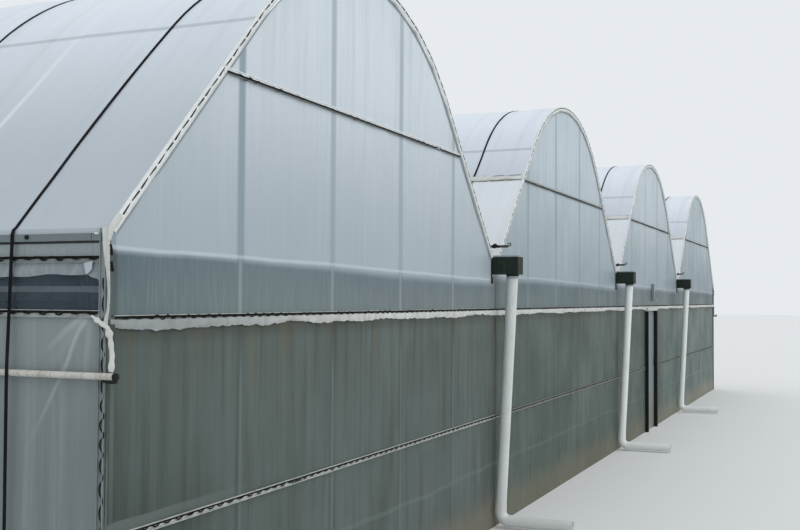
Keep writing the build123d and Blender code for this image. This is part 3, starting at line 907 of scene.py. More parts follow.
@dataclass(frozen=True)
class FilmFinish:
    """Greenhouse film: a dusty sheet with streaks, painted shade of the frame behind it and painted highlights
    over the hoops and creases.

    Args:
        name: name of the material.
        tint: its colour between the streaks.
        pale: colour of the light streaks, also used for the painted highlights over the hoops and creases.
        grime: colour of the dirty streaks, also used for painted shade over a purlin and the valley posts.
        opacity: how much of what is behind the film hides.
        pale_share: strength of the light streaks.
        grime_share: strength of the dirty streaks.
        post_tint: colour of the painted shade over the gable posts behind the film.
        post_share: strength of that painted shade.
        hoop_share: strength of the painted highlight lines over the hoops.
        purlin_height: height of the painted shade line over a side purlin, or 0 for none.
        purlin_share: strength of that painted shade.
        valley_share: strength of the painted shade and the dark painted shadow line over the valley posts.
        glow_tint: colour towards the crown, where more light comes through.
        glow_low: height where that glow starts.
        glow_depth: height over which it grows.
        clear_top: height of the seam below which the film is clear, or 0 for none.
        clear_tint: colour of the clear strip, with the dark inside behind it painted in as shade.
        clear_opacity: opacity of the clear strip.
        stain_top: height from which brown stains run down, or 0 for none.
        splash_height: height that soil has splashed up to, or 0 for none.
        creased: whether painted highlights of creases fan out from the ends of the curtain.
        roughness: how dull the film is.
        shine: strength of its reflections.
        crinkle: depth of the fine wrinkles.
        next_dim: what the colour is multiplied by on the spans after the first.
        far_dim: what it is multiplied by towards the last span.
        near_dim: what it is multiplied by towards the left corner.
        across: 1 where streaks change along X, 0 on roofs, which they run down.
    """

    name: str
    tint: Colour
    pale: Colour
    grime: Colour
    opacity: float
    pale_share: float = 0.3
    grime_share: float = 0.3
    post_tint: Colour = (0.3, 0.35, 0.38)
    post_share: float = 0.0
    hoop_share: float = 0.0
    purlin_height: float = 0.0
    purlin_share: float = 0.4
    valley_share: float = 0.0
    glow_tint: Colour = (0.6, 0.65, 0.7)
    glow_low: float = 9.0
    glow_depth: float = 1.6
    clear_top: float = 0.0
    clear_tint: Colour = (0.15, 0.19, 0.21)
    clear_opacity: float = 0.8
    stain_top: float = 0.0
    splash_height: float = 0.0
    creased: bool = False
    roughness: float = 0.42
    shine: float = 0.18
    crinkle: float = 0.004
    next_dim: Colour = WHITE
    far_dim: Colour = WHITE
    near_dim: Colour = WHITE
    across: float = 1.0

    def build(self) -> Material:
        """Make the material."""
        material, graph, shader = new_material(self.name)
        _, (x, y, z) = graph.place()
        light = graph.use(Effect.STREAKS, Width=0.045, Length=2.6, Low=0.44, High=0.72, Seed=3.0,
                          Across=self.across)
        dirt = graph.use(Effect.STREAKS, Width=0.09, Length=1.7, Low=0.42, High=0.7, Seed=11.0,
                         Across=self.across)
        cloud = graph.use(Effect.BLOTCHES, Size=0.9, Low=0.3, High=0.75, Seed=5.0)
        glow = graph.ramp(z, self.glow_low, self.glow_low + self.glow_depth)
        colour = graph.mix(glow, self.tint, self.glow_tint)
        colour = graph.paint(colour, self.pale, light, self.pale_share)
        colour = graph.paint(colour, self.grime, dirt, self.grime_share)
        colour = graph.paint(colour, self.grime, cloud, self.grime_share * 0.6)
        opacity = graph.less(self.opacity, graph.times(light, 0.04))
        # Painted shade: soft dark lines where the gable posts stand behind the film.
        if self.post_share:
            posts = graph.use(Effect.LINES, Along=x, Pitch=POST_PITCH, Half=0.02, Soft=0.036)
            share = graph.blend(graph.ramp(x, 1.4 - PLAN.wall_end, 2.1 - PLAN.wall_end), self.post_share,
                                self.post_share * 0.62)
            colour = graph.paint(colour, self.post_tint, posts, share)
        # Painted highlight: pale lines where the film lies over the hoops.
        if self.hoop_share:
            hoops = graph.use(Effect.LINES, Along=graph.less(y, 0.045), Pitch=HOOP_PITCH, Half=0.008,
                              Soft=0.022)
            inner = graph.math("LESS_THAN", graph.math("ABSOLUTE", y), PLAN.face - 0.2)
            hoops = graph.times(hoops, inner)
            colour = graph.paint(colour, self.pale, hoops, self.hoop_share)
        # Painted shade: a dark line where a purlin lies under the film.
        if self.purlin_height:
            purlin = graph.use(Effect.BAND, Low=self.purlin_height - 0.007,
                               High=self.purlin_height + 0.007, Soft=0.014, Wave=0.01, Size=0.8)
            colour = graph.paint(colour, self.grime, purlin, self.purlin_share)
        # Painted shade over the valley posts: a soft band and a dark shadow line.
        if self.valley_share:
            valleys = graph.use(Effect.LINES, Along=graph.less(x, 0.03), Pitch=PLAN.span, Half=0.01,
                                Soft=0.015)
            shade = graph.use(Effect.LINES, Along=x, Pitch=PLAN.span, Half=0.06, Soft=0.12)
            inside = graph.math("LESS_THAN", graph.math("ABSOLUTE", x), PLAN.wall_end - 0.3)
            valleys = graph.times(valleys, inside)
            colour = graph.paint(colour, self.grime, shade, self.valley_share * 0.3)
            colour = graph.paint(colour, VALLEY_SHADOW_BLACK, valleys, self.valley_share)
        if self.clear_top:
            colour, opacity = self.add_clear_strip(graph, colour, opacity, x)
        if self.stain_top:
            colour = self.add_stains(graph, colour, z)
        if self.splash_height:
            splash = graph.use(Effect.BAND, Low=-1.0, High=self.splash_height * 0.35,
                               Soft=self.splash_height, Wave=self.splash_height * 0.8, Size=0.25)
            colour = graph.paint(colour, SOIL, splash, 0.55)
        # Painted highlights along the creases that fan out from the curtain's corners.
        if self.creased:
            for crease in CREASES:
                mark = graph.use(Effect.FAN, Pivot=CREASE_PIVOT, Top=CURTAIN_LINE,
                                 Turn=crease.turn, Bend=crease.bend, Half=crease.half, Reach=crease.reach)
                colour = graph.paint(colour, self.pale, mark, crease.share * 0.8)
        colour = dimmed(graph, colour, x, self.next_dim, self.far_dim, self.near_dim)
        wrinkles = graph.use(Effect.CRINKLE, Size=0.16, Stretch=4.0, Across=self.across)
        graph.dress(shader, Base_Color=colour, Alpha=opacity, IOR=1.4, Specular_IOR_Level=self.shine,
                    Roughness=graph.blend(cloud, self.roughness - 0.08, self.roughness + 0.12),
                    Normal=graph.bump(wrinkles, 0.55, self.crinkle))
        return material

    def add_clear_strip(self, graph: Graph, colour: object, opacity: object,
                        x: object) -> tuple[object, object]:
        """Add the clear strip under the welded seam, with the dark inside behind it painted in as shade, where
        the posts show pale.

        Args:
            graph: graph of the material.
            colour: colour so far.
            opacity: opacity so far.
            x: coordinate along the gable.

        Returns:
            The new colour and opacity.
        """
        turns = graph.over(graph.less(x, -PLAN.wall_end), PLAN.span)
        share = graph.math("POWER", graph.math("FRACT", turns), 1.6)
        drop = graph.times(share, 0.055)
        soft = graph.blend(graph.ramp(x, 0.5 - PLAN.wall_end, 4 - PLAN.wall_end), 0.045, 0.09)
        edge = graph.less(self.clear_top + 0.018, soft)
        strip = graph.use(Effect.BAND, Low=-1.0, High=edge, Soft=soft, Wave=0.03, Size=1.1, Shift=drop)
        seam = graph.use(Effect.BAND, Low=self.clear_top + 0.01, High=self.clear_top + 0.018, Soft=0.012,
                         Wave=0.03, Size=1.1, Shift=drop)
        posts = graph.use(Effect.LINES, Along=x, Pitch=POST_PITCH, Half=0.014, Soft=0.012)
        inside = graph.math("LESS_THAN", graph.math("ABSOLUTE", x), PLAN.wall_end - 0.1)
        posts = graph.times(posts, inside)
        fine = graph.use(Effect.STREAKS, Width=0.02, Length=0.3, Low=0.35, High=0.8, Seed=21.0)
        cloud = graph.use(Effect.BLOTCHES, Size=1.3, Low=0.3, High=0.7, Seed=23.0)
        z = graph.place()[1][2]
        foot = graph.rest(graph.ramp(z, PLAN.lock_line, self.clear_top))
        # Painted shade of the dark inside seen through the strip, darker towards the bottom.
        clear = graph.paint(self.clear_tint, CLEAR_FOOT, foot, 0.75)
        near = graph.ramp(x, -PLAN.wall_end, 1.6 - PLAN.wall_end)
        clear = graph.mix(graph.rest(near), clear, CLEAR_NEAR_DIM, "MULTIPLY")
        clear = graph.paint(clear, CLEAR_CLOUD, cloud, 0.45)
        clear = graph.paint(clear, self.grime, fine, 0.2)
        clear = graph.paint(clear, self.pale, posts, 0.18)
        valleys = graph.use(Effect.LINES, Along=graph.less(x, 0.03),
                            Pitch=PLAN.span, Half=0.012, Soft=0.05)
        clear = graph.paint(clear, VALLEY_SHADE, valleys, 0.55)
        colour = graph.mix(strip, colour, clear)
        colour = graph.paint(colour, self.pale, seam, 0.4)
        return colour, graph.blend(strip, opacity, self.clear_opacity)

    def add_stains(self, graph: Graph, colour: object, z: object) -> object:
        """Add brown stains that run down from the lock line and fade out.

        Args:
            graph: graph of the material.
            colour: colour so far.
            z: height on the wall.

        Returns:
            The new colour.
        """
        runs = graph.use(Effect.STREAKS, Width=0.055, Length=0.8, Low=0.45, High=0.7, Seed=31.0)
        wide = graph.use(Effect.STREAKS, Width=0.5, Length=4.0, Low=0.35, High=0.7, Seed=37.0)
        fade = graph.ramp(z, self.stain_top - 0.85, self.stain_top)
        share = graph.times(graph.times(runs, wide), fade)
        colour = graph.paint(colour, STAIN, share, 0.75)
        x = graph.place()[1][0]
        beside = graph.use(Effect.LINES, Along=graph.less(x, 0.03), Pitch=POST_PITCH,
                           Half=0.012, Soft=0.04)
        short = graph.ramp(z, self.stain_top - 0.4, self.stain_top)
        seen = graph.use(Effect.LINES, Along=graph.less(x, 0.017), Pitch=POST_PITCH,
                         Half=0.01, Soft=0.012)
        seen = graph.times(seen, graph.less(0.4, graph.times(short, 0.4)))
        colour = graph.mix(seen, colour, POST_PALE)
        share = graph.times(graph.times(beside, wide), short)
        colour = graph.mix(share, colour, POST_STAIN)
        fold = graph.use(Effect.BAND, Low=0.615, High=0.63, Soft=0.02, Wave=0.13, Size=1.6)
        colour = graph.paint(colour, self.pale, fold, 0.3)
        wedge = graph.use(Effect.BAND, Low=KNEE_HEIGHT, High=KNEE_HEIGHT + 0.07, Soft=0.006, Wave=0.02,
                          Size=0.8)
        near = graph.ramp(graph.times(x, -1.0), PLAN.wall_end - 1.5, PLAN.wall_end)
        colour = graph.paint(colour, KNEE_WEDGE, wedge, near)
        left = graph.times(near, graph.less(1.3, graph.ramp(z, 0.9, 1.7)))
        colour = graph.mix(left, colour, CORNER_DIM, "MULTIPLY")
        # Darker just under the lock line.
        edge = graph.ramp(z, self.stain_top - 0.12, self.stain_top - 0.03)
        return graph.paint(colour, UNDER_LOCK_LINE_DARK, edge, 0.45)


@dataclass(frozen=True)
class HardFinish:
    """Metal, paint or hard plastic with dust, streaks and worn patches.

    Args:
        name: name of the material.
        tint: main colour.
        second: colour of the patches.
        dirt: colour of the dirt that runs down.
        metallic: how much of a metal it is.
        roughness: how dull it is.
        patch_size: size of the patches.
        patch_share: strength of the patches.
        dirt_share: strength of the dirt.
        bump: depth of the surface's unevenness.
        spangle: strength of the crystals of a zinc coat.
        shine: strength of its reflections.
        rim: height above which the colour is the face's, or 0 for none.
        toe: height below which the colour is the face's, or 0 for none.
        groove: height of the top of a dark level line of painted shadow, or 0 for none.
        face: distance beyond which the colour is the face's, or 0 for none.
        face_axis: coordinate in which that distance is taken.
        face_tint: colour of the face.
        next_dim: what the colour is multiplied by on the spans after the first.
    """

    name: str
    tint: Colour
    second: Colour
    dirt: Colour
    metallic: float = 0.0
    roughness: float = 0.5
    patch_size: float = 0.12
    patch_share: float = 0.4
    dirt_share: float = 0.3
    bump: float = 0.0006
    spangle: float = 0.0
    shine: float = 0.4
    rim: float = 0.0
    toe: float = 0.0
    groove: float = 0.0
    face: float = 0.0
    face_axis: int = 1
    face_tint: Colour = (0.2, 0.23, 0.24)
    next_dim: Colour = WHITE

    def build(self) -> Material:
        """Make the material."""
        material, graph, shader = new_material(self.name)
        whole, place = graph.place()
        patches = graph.use(Effect.BLOTCHES, Size=self.patch_size, Low=0.4, High=0.66, Seed=2.0)
        grit = graph.use(Effect.BLOTCHES, Size=self.patch_size * 0.12, Low=0.42, High=0.72,
                         Seed=9.0)
        runs = graph.use(Effect.STREAKS, Width=0.016, Length=0.35, Low=0.5, High=0.74, Seed=17.0)
        colour = graph.paint(self.tint, self.second, patches, self.patch_share)
        colour = graph.paint(colour, self.dirt, runs, self.dirt_share)
        colour = graph.paint(colour, self.dirt, grit, self.dirt_share * 0.5)
        if self.spangle:
            cells = graph.node("ShaderNodeTexVoronoi", feature="F1")
            graph.feed(cells.inputs["Vector"], whole)
            graph.feed(cells.inputs["Scale"], 55.0)
            tone = graph.ramp(graph.noise(cells.outputs["Color"], 0.0), 0.3, 0.7)
            colour = graph.paint(colour, self.second, tone, self.spangle)
        if self.face:
            plate = graph.math("GREATER_THAN", graph.math("ABSOLUTE", place[self.face_axis]), self.face)
            colour = graph.paint(colour, self.face_tint, plate, 0.85)
        if self.rim:
            colour = graph.mix(graph.math("GREATER_THAN", place[2], self.rim), colour, self.face_tint)
        if self.toe:
            colour = graph.mix(graph.math("LESS_THAN", place[2], self.toe), colour, self.face_tint)
        # Painted shadow: a dark level line, as under the eave's lip.
        if self.groove:
            line = graph.use(Effect.BAND, Low=self.groove - 0.011, High=self.groove, Soft=0.001,
                             Wave=0.004, Size=0.3)
            colour = graph.mix(line, colour, UNDER_LIP_SHADOW)
        height = graph.plus(patches, graph.times(grit, 0.3))
        graph.dress(shader, Base_Color=dimmed(graph, colour, place[0], self.next_dim), Metallic=self.metallic,
                    Specular_IOR_Level=self.shine, Normal=graph.bump(height, 0.5, self.bump),
                    Roughness=graph.blend(patches, self.roughness - 0.06, self.roughness + 0.12))
        return material


@dataclass(frozen=True)
class ChannelFinish:
    """Lock channels: pale film tucked over the lips, a painted shadow in the groove, painted highlight and
    shade on the collar lips, and corners hidden by film.

    Args:
        name: name of the material.
        lip: colour of the lips.
        groove: colour of the shadow in the groove.
        lines: heights of the level channels.
        axis: 0 or 1, the coordinate that tells the corner channels apart.
        corner: place on that axis beyond which a channel is a corner one.
        corner_high: colour of a corner channel above the lock line.
        corner_low: colour of a corner channel below it.
    """

    name: str
    lip: Colour
    groove: Colour
    lines: tuple[float, ...]
    axis: int
    corner: float
    corner_high: Colour
    corner_low: Colour

    def build(self) -> Material:
        """Make the material."""
        material, graph, shader = new_material(self.name)
        _, place = graph.place()
        grit = graph.use(Effect.BLOTCHES, Size=0.05, Low=0.4, High=0.7, Seed=4.0)
        runs = graph.use(Effect.STREAKS, Width=0.03, Length=0.6, Low=0.45, High=0.75, Seed=6.0)
        colour = graph.paint(self.lip, CHANNEL_GRIT, grit, 0.4)
        # Painted highlight on the collar channel's upper lip and painted shade on its lower lip.
        upper = graph.math("GREATER_THAN", place[2], COLLAR_HEIGHT + 0.004)
        collar = graph.mix(upper, COLLAR_LIP_SHADE, COLLAR_LIP_HIGHLIGHT)
        colour = graph.mix(graph.math("GREATER_THAN", place[2], COLLARS_FROM), colour, collar)
        # Painted shadow in each groove, made lighter on the spans after the first.
        groove = self.groove if self.axis else dimmed(graph, self.groove, place[0], GROOVE_NEXT_LIFT)
        for height in self.lines:
            dark = graph.use(Effect.BAND, Low=height + 0.001, High=height + 0.0135, Soft=0.0004,
                             Wave=0.0, Size=0.05)
            colour = graph.mix(dark, colour, groove)
        if self.axis:
            upper = graph.math("GREATER_THAN", place[2], (VENT_LINE + CURTAIN_LINE) / 2)
            colour = graph.mix(upper, colour, VENT_CHANNEL_DIM, "MULTIPLY")
        else:
            colour = dimmed(graph, colour, place[0], CHANNEL_NEXT_DIM)
        far = graph.math("GREATER_THAN", graph.math("ABSOLUTE", place[self.axis]), self.corner)
        high = graph.math("GREATER_THAN", place[2], PLAN.lock_line)
        corner = graph.mix(high, self.corner_low, self.corner_high)
        corner = graph.paint(corner, self.lip, runs, 0.3)
        graph.dress(shader, Base_Color=graph.mix(far, colour, corner), Roughness=0.55, Specular_IOR_Level=0.2)
        return material


class Finishes:
    """All the materials of the house."""

    def __init__(self) -> None:
        """Build each one once."""
        self.roof = FilmFinish(
            "milky_roof_film", tint=(0.445, 0.49, 0.532), pale=(0.74, 0.78, 0.82), grime=(0.36, 0.41, 0.44),
            opacity=0.93, pale_share=0.12, grime_share=0.14, hoop_share=0.6, purlin_height=3.94,
            purlin_share=0.6, glow_tint=(0.74, 0.8, 0.86), glow_low=2.8, glow_depth=1.75, across=0.0,
        ).build()
        self.slope = FilmFinish(
            "pale_valley_film", tint=(0.72, 0.76, 0.79), pale=(0.84, 0.86, 0.87), grime=(0.5, 0.52, 0.52),
            opacity=0.95, pale_share=0.25, grime_share=0.2, hoop_share=0.3, across=0.0,
        ).build()
        self.gable = FilmFinish(
            "milky_gable_film", tint=(0.4, 0.458, 0.495), pale=(0.66, 0.71, 0.75), grime=(0.38, 0.43, 0.45),
            opacity=0.93, pale_share=0.2, grime_share=0.22, post_tint=(0.24, 0.31, 0.35), post_share=0.85,
            glow_tint=(0.7, 0.755, 0.8), glow_low=2.5, glow_depth=1.65, next_dim=(0.79, 0.83, 0.83),
            far_dim=(0.84, 0.86, 0.85), clear_top=2.485, clear_tint=(0.135, 0.18, 0.205),
            clear_opacity=0.86,
        ).build()
        # The lower film's dark tint is partly dirt and partly painted shade of the dark inside seen through it.
        self.lower = FilmFinish(
            "dirty_lower_film", tint=(0.117, 0.152, 0.142), pale=(0.19, 0.235, 0.22),
            grime=(0.066, 0.071, 0.058),
            opacity=0.9, pale_share=0.28, grime_share=0.5, post_tint=(0.06, 0.072, 0.07), post_share=0.45,
            valley_share=0.9, stain_top=2.11, splash_height=0.32, roughness=0.45, shine=0.1,
            next_dim=(0.82, 0.87, 0.82), far_dim=(1.4, 1.42, 1.5),
        ).build()
        self.side = FilmFinish(
            "creased_side_film", tint=(0.19, 0.23, 0.232), pale=(0.4, 0.45, 0.45), grime=(0.13, 0.155, 0.148),
            glow_tint=(0.235, 0.275, 0.28), glow_low=1.4, glow_depth=0.7,
            opacity=0.92, pale_share=0.26, grime_share=0.35, splash_height=0.2, creased=True, roughness=0.36,
            crinkle=0.006,
        ).build()
        self.skirt = FilmFinish(
            "clear_skirt_film", tint=(0.3, 0.35, 0.37), pale=(0.6, 0.64, 0.66), grime=(0.2, 0.23, 0.24),
            opacity=0.72, pale_share=0.5, grime_share=0.3, roughness=0.3, crinkle=0.01,
        ).build()
        self.net = FilmFinish(
            "dark_vent_net", tint=(0.07, 0.105, 0.13), pale=(0.11, 0.15, 0.17), grime=(0.05, 0.07, 0.09),
            opacity=0.34, pale_share=0.4, grime_share=0.4, crinkle=0.0005,
        ).build()
        flap = FilmFinish(
            "ragged_white_flap", tint=(0.62, 0.64, 0.62), pale=(0.8, 0.81, 0.8), grime=(0.3, 0.29, 0.23),
            opacity=0.98, pale_share=0.4, grime_share=0.35, roughness=0.5, crinkle=0.012,
            near_dim=(0.5, 0.52, 0.54),
        )
        self.flap = flap.build()
        self.bunch = replace(flap, name="bunched_white_film", near_dim=WHITE).build()
        self.door_film = FilmFinish(
            "door_film", tint=(0.2, 0.245, 0.255), pale=(0.33, 0.37, 0.38), grime=(0.13, 0.15, 0.145),
            opacity=0.93, pale_share=0.3, grime_share=0.3, splash_height=0.7, roughness=0.4,
        ).build()
        zinc = (0.16, 0.15, 0.13)
        self.tube = HardFinish(
            "zinc_tube", tint=(0.4, 0.43, 0.44), second=(0.5, 0.53, 0.54), dirt=zinc, metallic=0.35,
            roughness=0.5, spangle=0.4,
        ).build()
        self.sheet = HardFinish(
            "weathered_zinc_sheet", tint=(0.24, 0.285, 0.3), second=(0.33, 0.37, 0.385), dirt=zinc,
            metallic=0.3, roughness=0.48, spangle=0.35, patch_size=0.2,
        ).build()
        # The eave's dark line under its lip is painted shadow.
        self.eave = HardFinish(
            "grey_eave_sheet", tint=(0.24, 0.29, 0.3), second=(0.31, 0.35, 0.36), dirt=zinc, metallic=0.2,
            roughness=0.5, patch_size=0.2, groove=LIP_TOP - 0.0365, face=PLAN.side_face + 0.008, face_axis=0,
            face_tint=(0.125, 0.16, 0.17),
        ).build()
        self.channel = ChannelFinish(
            "gable_channel_film", lip=(0.52, 0.54, 0.51), groove=(0.008, 0.008, 0.007),
            lines=(PLAN.lock_line, KNEE_HEIGHT, COLLAR_HEIGHT - 0.0095), axis=0, corner=PLAN.wall_end - 0.04,
            corner_high=(0.15, 0.19, 0.21), corner_low=(0.09, 0.11, 0.1),
        ).build()
        self.side_channel = ChannelFinish(
            "side_channel_film", lip=(0.42, 0.45, 0.45), groove=(0.008, 0.008, 0.007),
            lines=(VENT_LINE, CURTAIN_LINE), axis=1, corner=PLAN.face - 0.039,
            corner_high=(0.24, 0.27, 0.28), corner_low=(0.2, 0.23, 0.235),
        ).build()
        self.wrap = HardFinish(
            "white_arch_film", tint=(0.72, 0.74, 0.73), second=(0.54, 0.57, 0.56), dirt=(0.24, 0.23, 0.19),
            roughness=0.5, patch_size=0.1, dirt_share=0.3,
        ).build()
        # Brown seam dirt with painted shadow, for the gap below the rolled lap.
        self.rust = HardFinish(
            "brown_seam_dirt", tint=(0.22, 0.17, 0.1), second=(0.3, 0.27, 0.2), dirt=(0.12, 0.09, 0.05),
            roughness=0.8, patch_size=0.08, shine=0.1,
        ).build()
        self.wire = HardFinish(
            "black_spring_wire", tint=(0.006, 0.006, 0.006), second=(0.014, 0.014, 0.012),
            dirt=(0.035, 0.03, 0.022), roughness=0.6, patch_size=0.05, shine=0.1, next_dim=(5.0, 5.0, 5.0),
        ).build()
        self.strap = HardFinish(
            "black_webbing", tint=(0.006, 0.006, 0.008), second=(0.012, 0.012, 0.014), dirt=(0.03, 0.03, 0.028),
            roughness=0.8, patch_size=0.06, bump=0.001, shine=0.08,
        ).build()
        box_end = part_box("gutter_boxes_back")[1].y
        self.gutter = HardFinish(
            "dark_green_gutter_paint", tint=(0.014, 0.024, 0.018), second=(0.035, 0.045, 0.035),
            dirt=(0.06, 0.065, 0.05), roughness=0.6, patch_size=0.06, shine=0.12, face=box_end - 0.004,
            rim=PLAN.gutter_top - 0.016, toe=PLAN.gutter_top - 0.206, face_tint=(0.36, 0.4, 0.41),
        ).build()
        self.pipe = HardFinish(
            "white_rain_pipe", tint=(0.62, 0.65, 0.63), second=(0.54, 0.57, 0.55), dirt=(0.33, 0.31, 0.25),
            roughness=0.4, patch_size=0.3, patch_share=0.3, dirt_share=0.25, bump=0.0003,
            next_dim=(1.24, 1.24, 1.25),
        ).build()
        self.roll = HardFinish(
            "off_white_roll_pipe", tint=(0.54, 0.53, 0.49), second=(0.34, 0.32, 0.27), dirt=(0.13, 0.11, 0.08),
            roughness=0.5, patch_size=0.09, patch_share=0.5, dirt_share=0.5,
        ).build()
        dark = HardFinish(
            "near_black_steel", tint=(0.008, 0.01, 0.011), second=(0.02, 0.022, 0.022),
            dirt=(0.05, 0.045, 0.035), roughness=0.6, patch_size=0.1, shine=0.12,
        )
        self.dark = dark.build()
        self.door_frame = replace(dark, name="black_door_frame", rim=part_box("door_leaf")[1].z + 0.006,
                                  face_tint=(0.5, 0.52, 0.49)).build()
        self.door_steel = HardFinish(
            "grey_door_steel", tint=(0.24, 0.27, 0.27), second=(0.3, 0.32, 0.31), dirt=(0.14, 0.12, 0.09),
            metallic=0.1, roughness=0.5,
        ).build()


class SteelFrame:
    """Posts, hoops, gutters and rails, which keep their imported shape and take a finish."""

    FINISH_OF_NODE = {
        "post": "tube", "hoops": "tube", "purlins": "tube", "ties": "tube", "rails": "tube",
        "valley_gutter": "sheet", "eave": "eave", "gutter_boxes": "gutter",
        "lock_channels": "channel", "side_lock": "side_channel",
        "door_frame": "door_frame", "door_leaf": "door_steel", "door_latch": "dark",
    }

    def __init__(self, finishes: Finishes) -> None:
        """Keep the materials."""
        self.finishes = finishes

    def dress(self) -> None:
        """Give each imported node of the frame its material."""
        for name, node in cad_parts.items():
            for word, finish in self.FINISH_OF_NODE.items():
                if word in name:
                    node.data.materials.clear()
                    node.data.materials.append(getattr(self.finishes, finish))
        LOG.info("frame dressed: %d nodes", len(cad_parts))


@dataclass
class RoofCover:
    """Roof film that sags between the hoops, and the straps that hold it down.

    Args:
        finishes: the materials.
        sag: how far the film hangs in between two hoops.
        step: distance between points along the arch.
        bay_steps: how many rows of points lie between two hoops.
        strap_width: width of the webbing.
        strap_thickness: thickness of the webbing.
        strap_stray: how far a strap strays from midway between two hoops.
        strap_drift: how far it wanders to the side on its way.
        strap_bow: how far the straps of the first span bow to the side.
        lap_half: half the width of the rolled lap.
    """

    finishes: Finishes
    sag: float = 0.011
    step: float = 0.13
    bay_steps: int = 14
    strap_width: float = 0.02
    strap_thickness: float = 0.003
    strap_stray: float = 0.05
    strap_drift: float = 0.006
    strap_bow: float = 0.06
    lap_half: float = 0.036

    @property
    def rows(self) -> Array:
        """Y of each hoop."""
        bays = round(2 * PLAN.face / HOOP_PITCH)
        return (np.arange(bays + 1) - bays / 2) * HOOP_PITCH

    @property
    def places(self) -> Array:
        """Y of each row of the film's points."""
        return np.linspace(-PLAN.face, PLAN.face, self.bay_steps * (len(self.rows) - 1) + 1)

    @property
    def strap_rows(self) -> Array:
        """Y of each strap, about midway between hoops, as the ropes were thrown over."""
        middles = (self.rows[:-1] + self.rows[1:]) / 2
        shifts = self.strap_stray * ripple(middles, 3.1, 8)
        shifts[0] = -0.08
        shifts[1] = 0.1
        return middles + shifts

    def dip(self, y: Array) -> Array:
        """How far the film lies under its highest line, at places along the house."""
        return self.sag * np.abs(np.sin(np.pi * y / HOOP_PITCH)) ** 1.3

    def hold(self, index: int, x: Array, z: Array) -> Array:
        """How freely the film hangs at points of a span's outline, from 0 at its edges to 1.

        Args:
            index: number of the span from the left.
            x: distances from the span's middle.
            z: heights.

        Returns:
            One share for each point.
        """
        left, right = feet(index)
        lap = left if index == 0 else COLLAR_HEIGHT
        free = np.clip((z - np.where(x < 0, lap, right)) / 0.32, 0, 1)
        slope = np.sin(np.pi * np.clip((z - left) / (COLLAR_HEIGHT - left), 0, 1))
        return np.where((x < 0) & (z < lap), slope, free)

    def sheet(self, index: int, left_foot: float, right_foot: float) -> tuple[Array, Array]:
        """Outer and inner grids of a span's film.

        Args:
            index: number of the span from the left.
            left_foot: height where the film ends on the left.
            right_foot: height where it ends on the right.

        Returns:
            The two grids of points.
        """
        points, normals = ARCH.line(left_foot, right_foot, self.step)
        y = self.places
        hold = self.hold(index, points[:, 0], points[:, 1])
        dip = self.dip(y)[:, None] * hold[None, :]
        between = np.clip(8 * np.abs(np.sin(np.pi * y / HOOP_PITCH)) - 0.4, 0, 1)[:, None]
        dip = dip + 0.0016 * hold * (1 + waves(y[:, None], points[None, :, 0] * 1.4, 0.8, 40 + index)) * between
        dip = np.maximum(dip, 0) - 0.0006 * hold
        base = grid(PLAN.centres[index] + points[:, 0], y[:, None], points[:, 1])
        out = grid(normals[:, 0], 0.0, normals[:, 1])[None]
        outer = base - dip[..., None] * out
        return outer, outer - SHEET_THICKNESS * out

    def build(self) -> None:
        """Make the film of each span, the lower film above the valleys and the straps."""
        for index in range(LAST_SPAN + 1):
            left, right = feet(index)
            lap = left if index == 0 else COLLAR_HEIGHT
            shape = Shape()
            outer, inner = self.sheet(index, lap, right)
            shape.slab(outer, inner)
            name = f"roof_film_{index + 1}"
            piece = shape.make(f"stretched_{name}", Slot.ROOF, self.finishes.roof)
            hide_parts(name)
            if index:
                self.build_slope(index, left)
            self.build_straps(index)
        for side in Side:
            self.build_fold(side)

    def build_fold(self, side: Side) -> None:
        """Make the edge of the film that is folded down over the eave beam to its lip.

        Args:
            side: which side wall it is on.
        """
        y = np.linspace(-PLAN.face, PLAN.face, 181)
        z = np.array([PLAN.eave_top + 0.001, PLAN.eave_top - 0.008, PLAN.eave_top - 0.017, LIP_TOP + 0.001])
        out = np.array([0.0031, 0.0046, 0.0052, 0.0058])[None] + 0.0012 * waves(y[:, None], z[None], 0.3, 81)
        x = side.value * (PLAN.side_face + np.maximum(out, 0.0031))
        outer = grid(x, y[:, None], z[None])
        shape = Shape()
        shape.slab(outer, outer - [side.value * LOOSE_FILM, 0, 0])
        shape.make(f"folded_roof_edge_{side.word}", Slot.ROOF, self.finishes.roof)

    def build_slope(self, index: int, foot: float) -> None:
        """Make the lower film of a left slope, and the rolled seam where the upper film laps it.

        Args:
            index: number of the span from the left.
            foot: height of the film's foot.
        """
        y = self.places
        z = np.linspace(foot, COLLAR_HEIGHT, 12)
        x = PLAN.centres[index] - np.array([ARCH.reach(height) for height in z])
        hold = self.hold(index, z * 0 - 1, z - 1e-6)
        dip = self.dip(y)[:, None] * hold[None] + 0.0005
        out = SLOPE_OUT
        base = grid(x[None], y[:, None], z[None])
        outer = base - dip[..., None] * out
        shape = Shape()
        shape.slab(outer, outer - SHEET_THICKNESS * out)
        piece = shape.make(f"valley_slope_film_{index}", Slot.ROOF, self.finishes.slope)
        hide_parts("valley_slope_films")
        seam = Shape()
        height = LAP_HEIGHT
        wobble = 0.004 * ripple(y, 0.35, 60 + index)
        path = grid(PLAN.centres[index] - ARCH.reach(height) + wobble, y, height + wobble)
        width = self.lap_half + 0.006 * ripple(y, 0.2, 70 + index)
        seam.tube(path + out * 0.0085, width, 12, out, flat=0.22)
        seam.make(f"rolled_lap_{index}", Slot.ROOF, self.finishes.flap)
        y = np.arange(-PLAN.face + 0.02, PLAN.face - 0.02, 0.035)
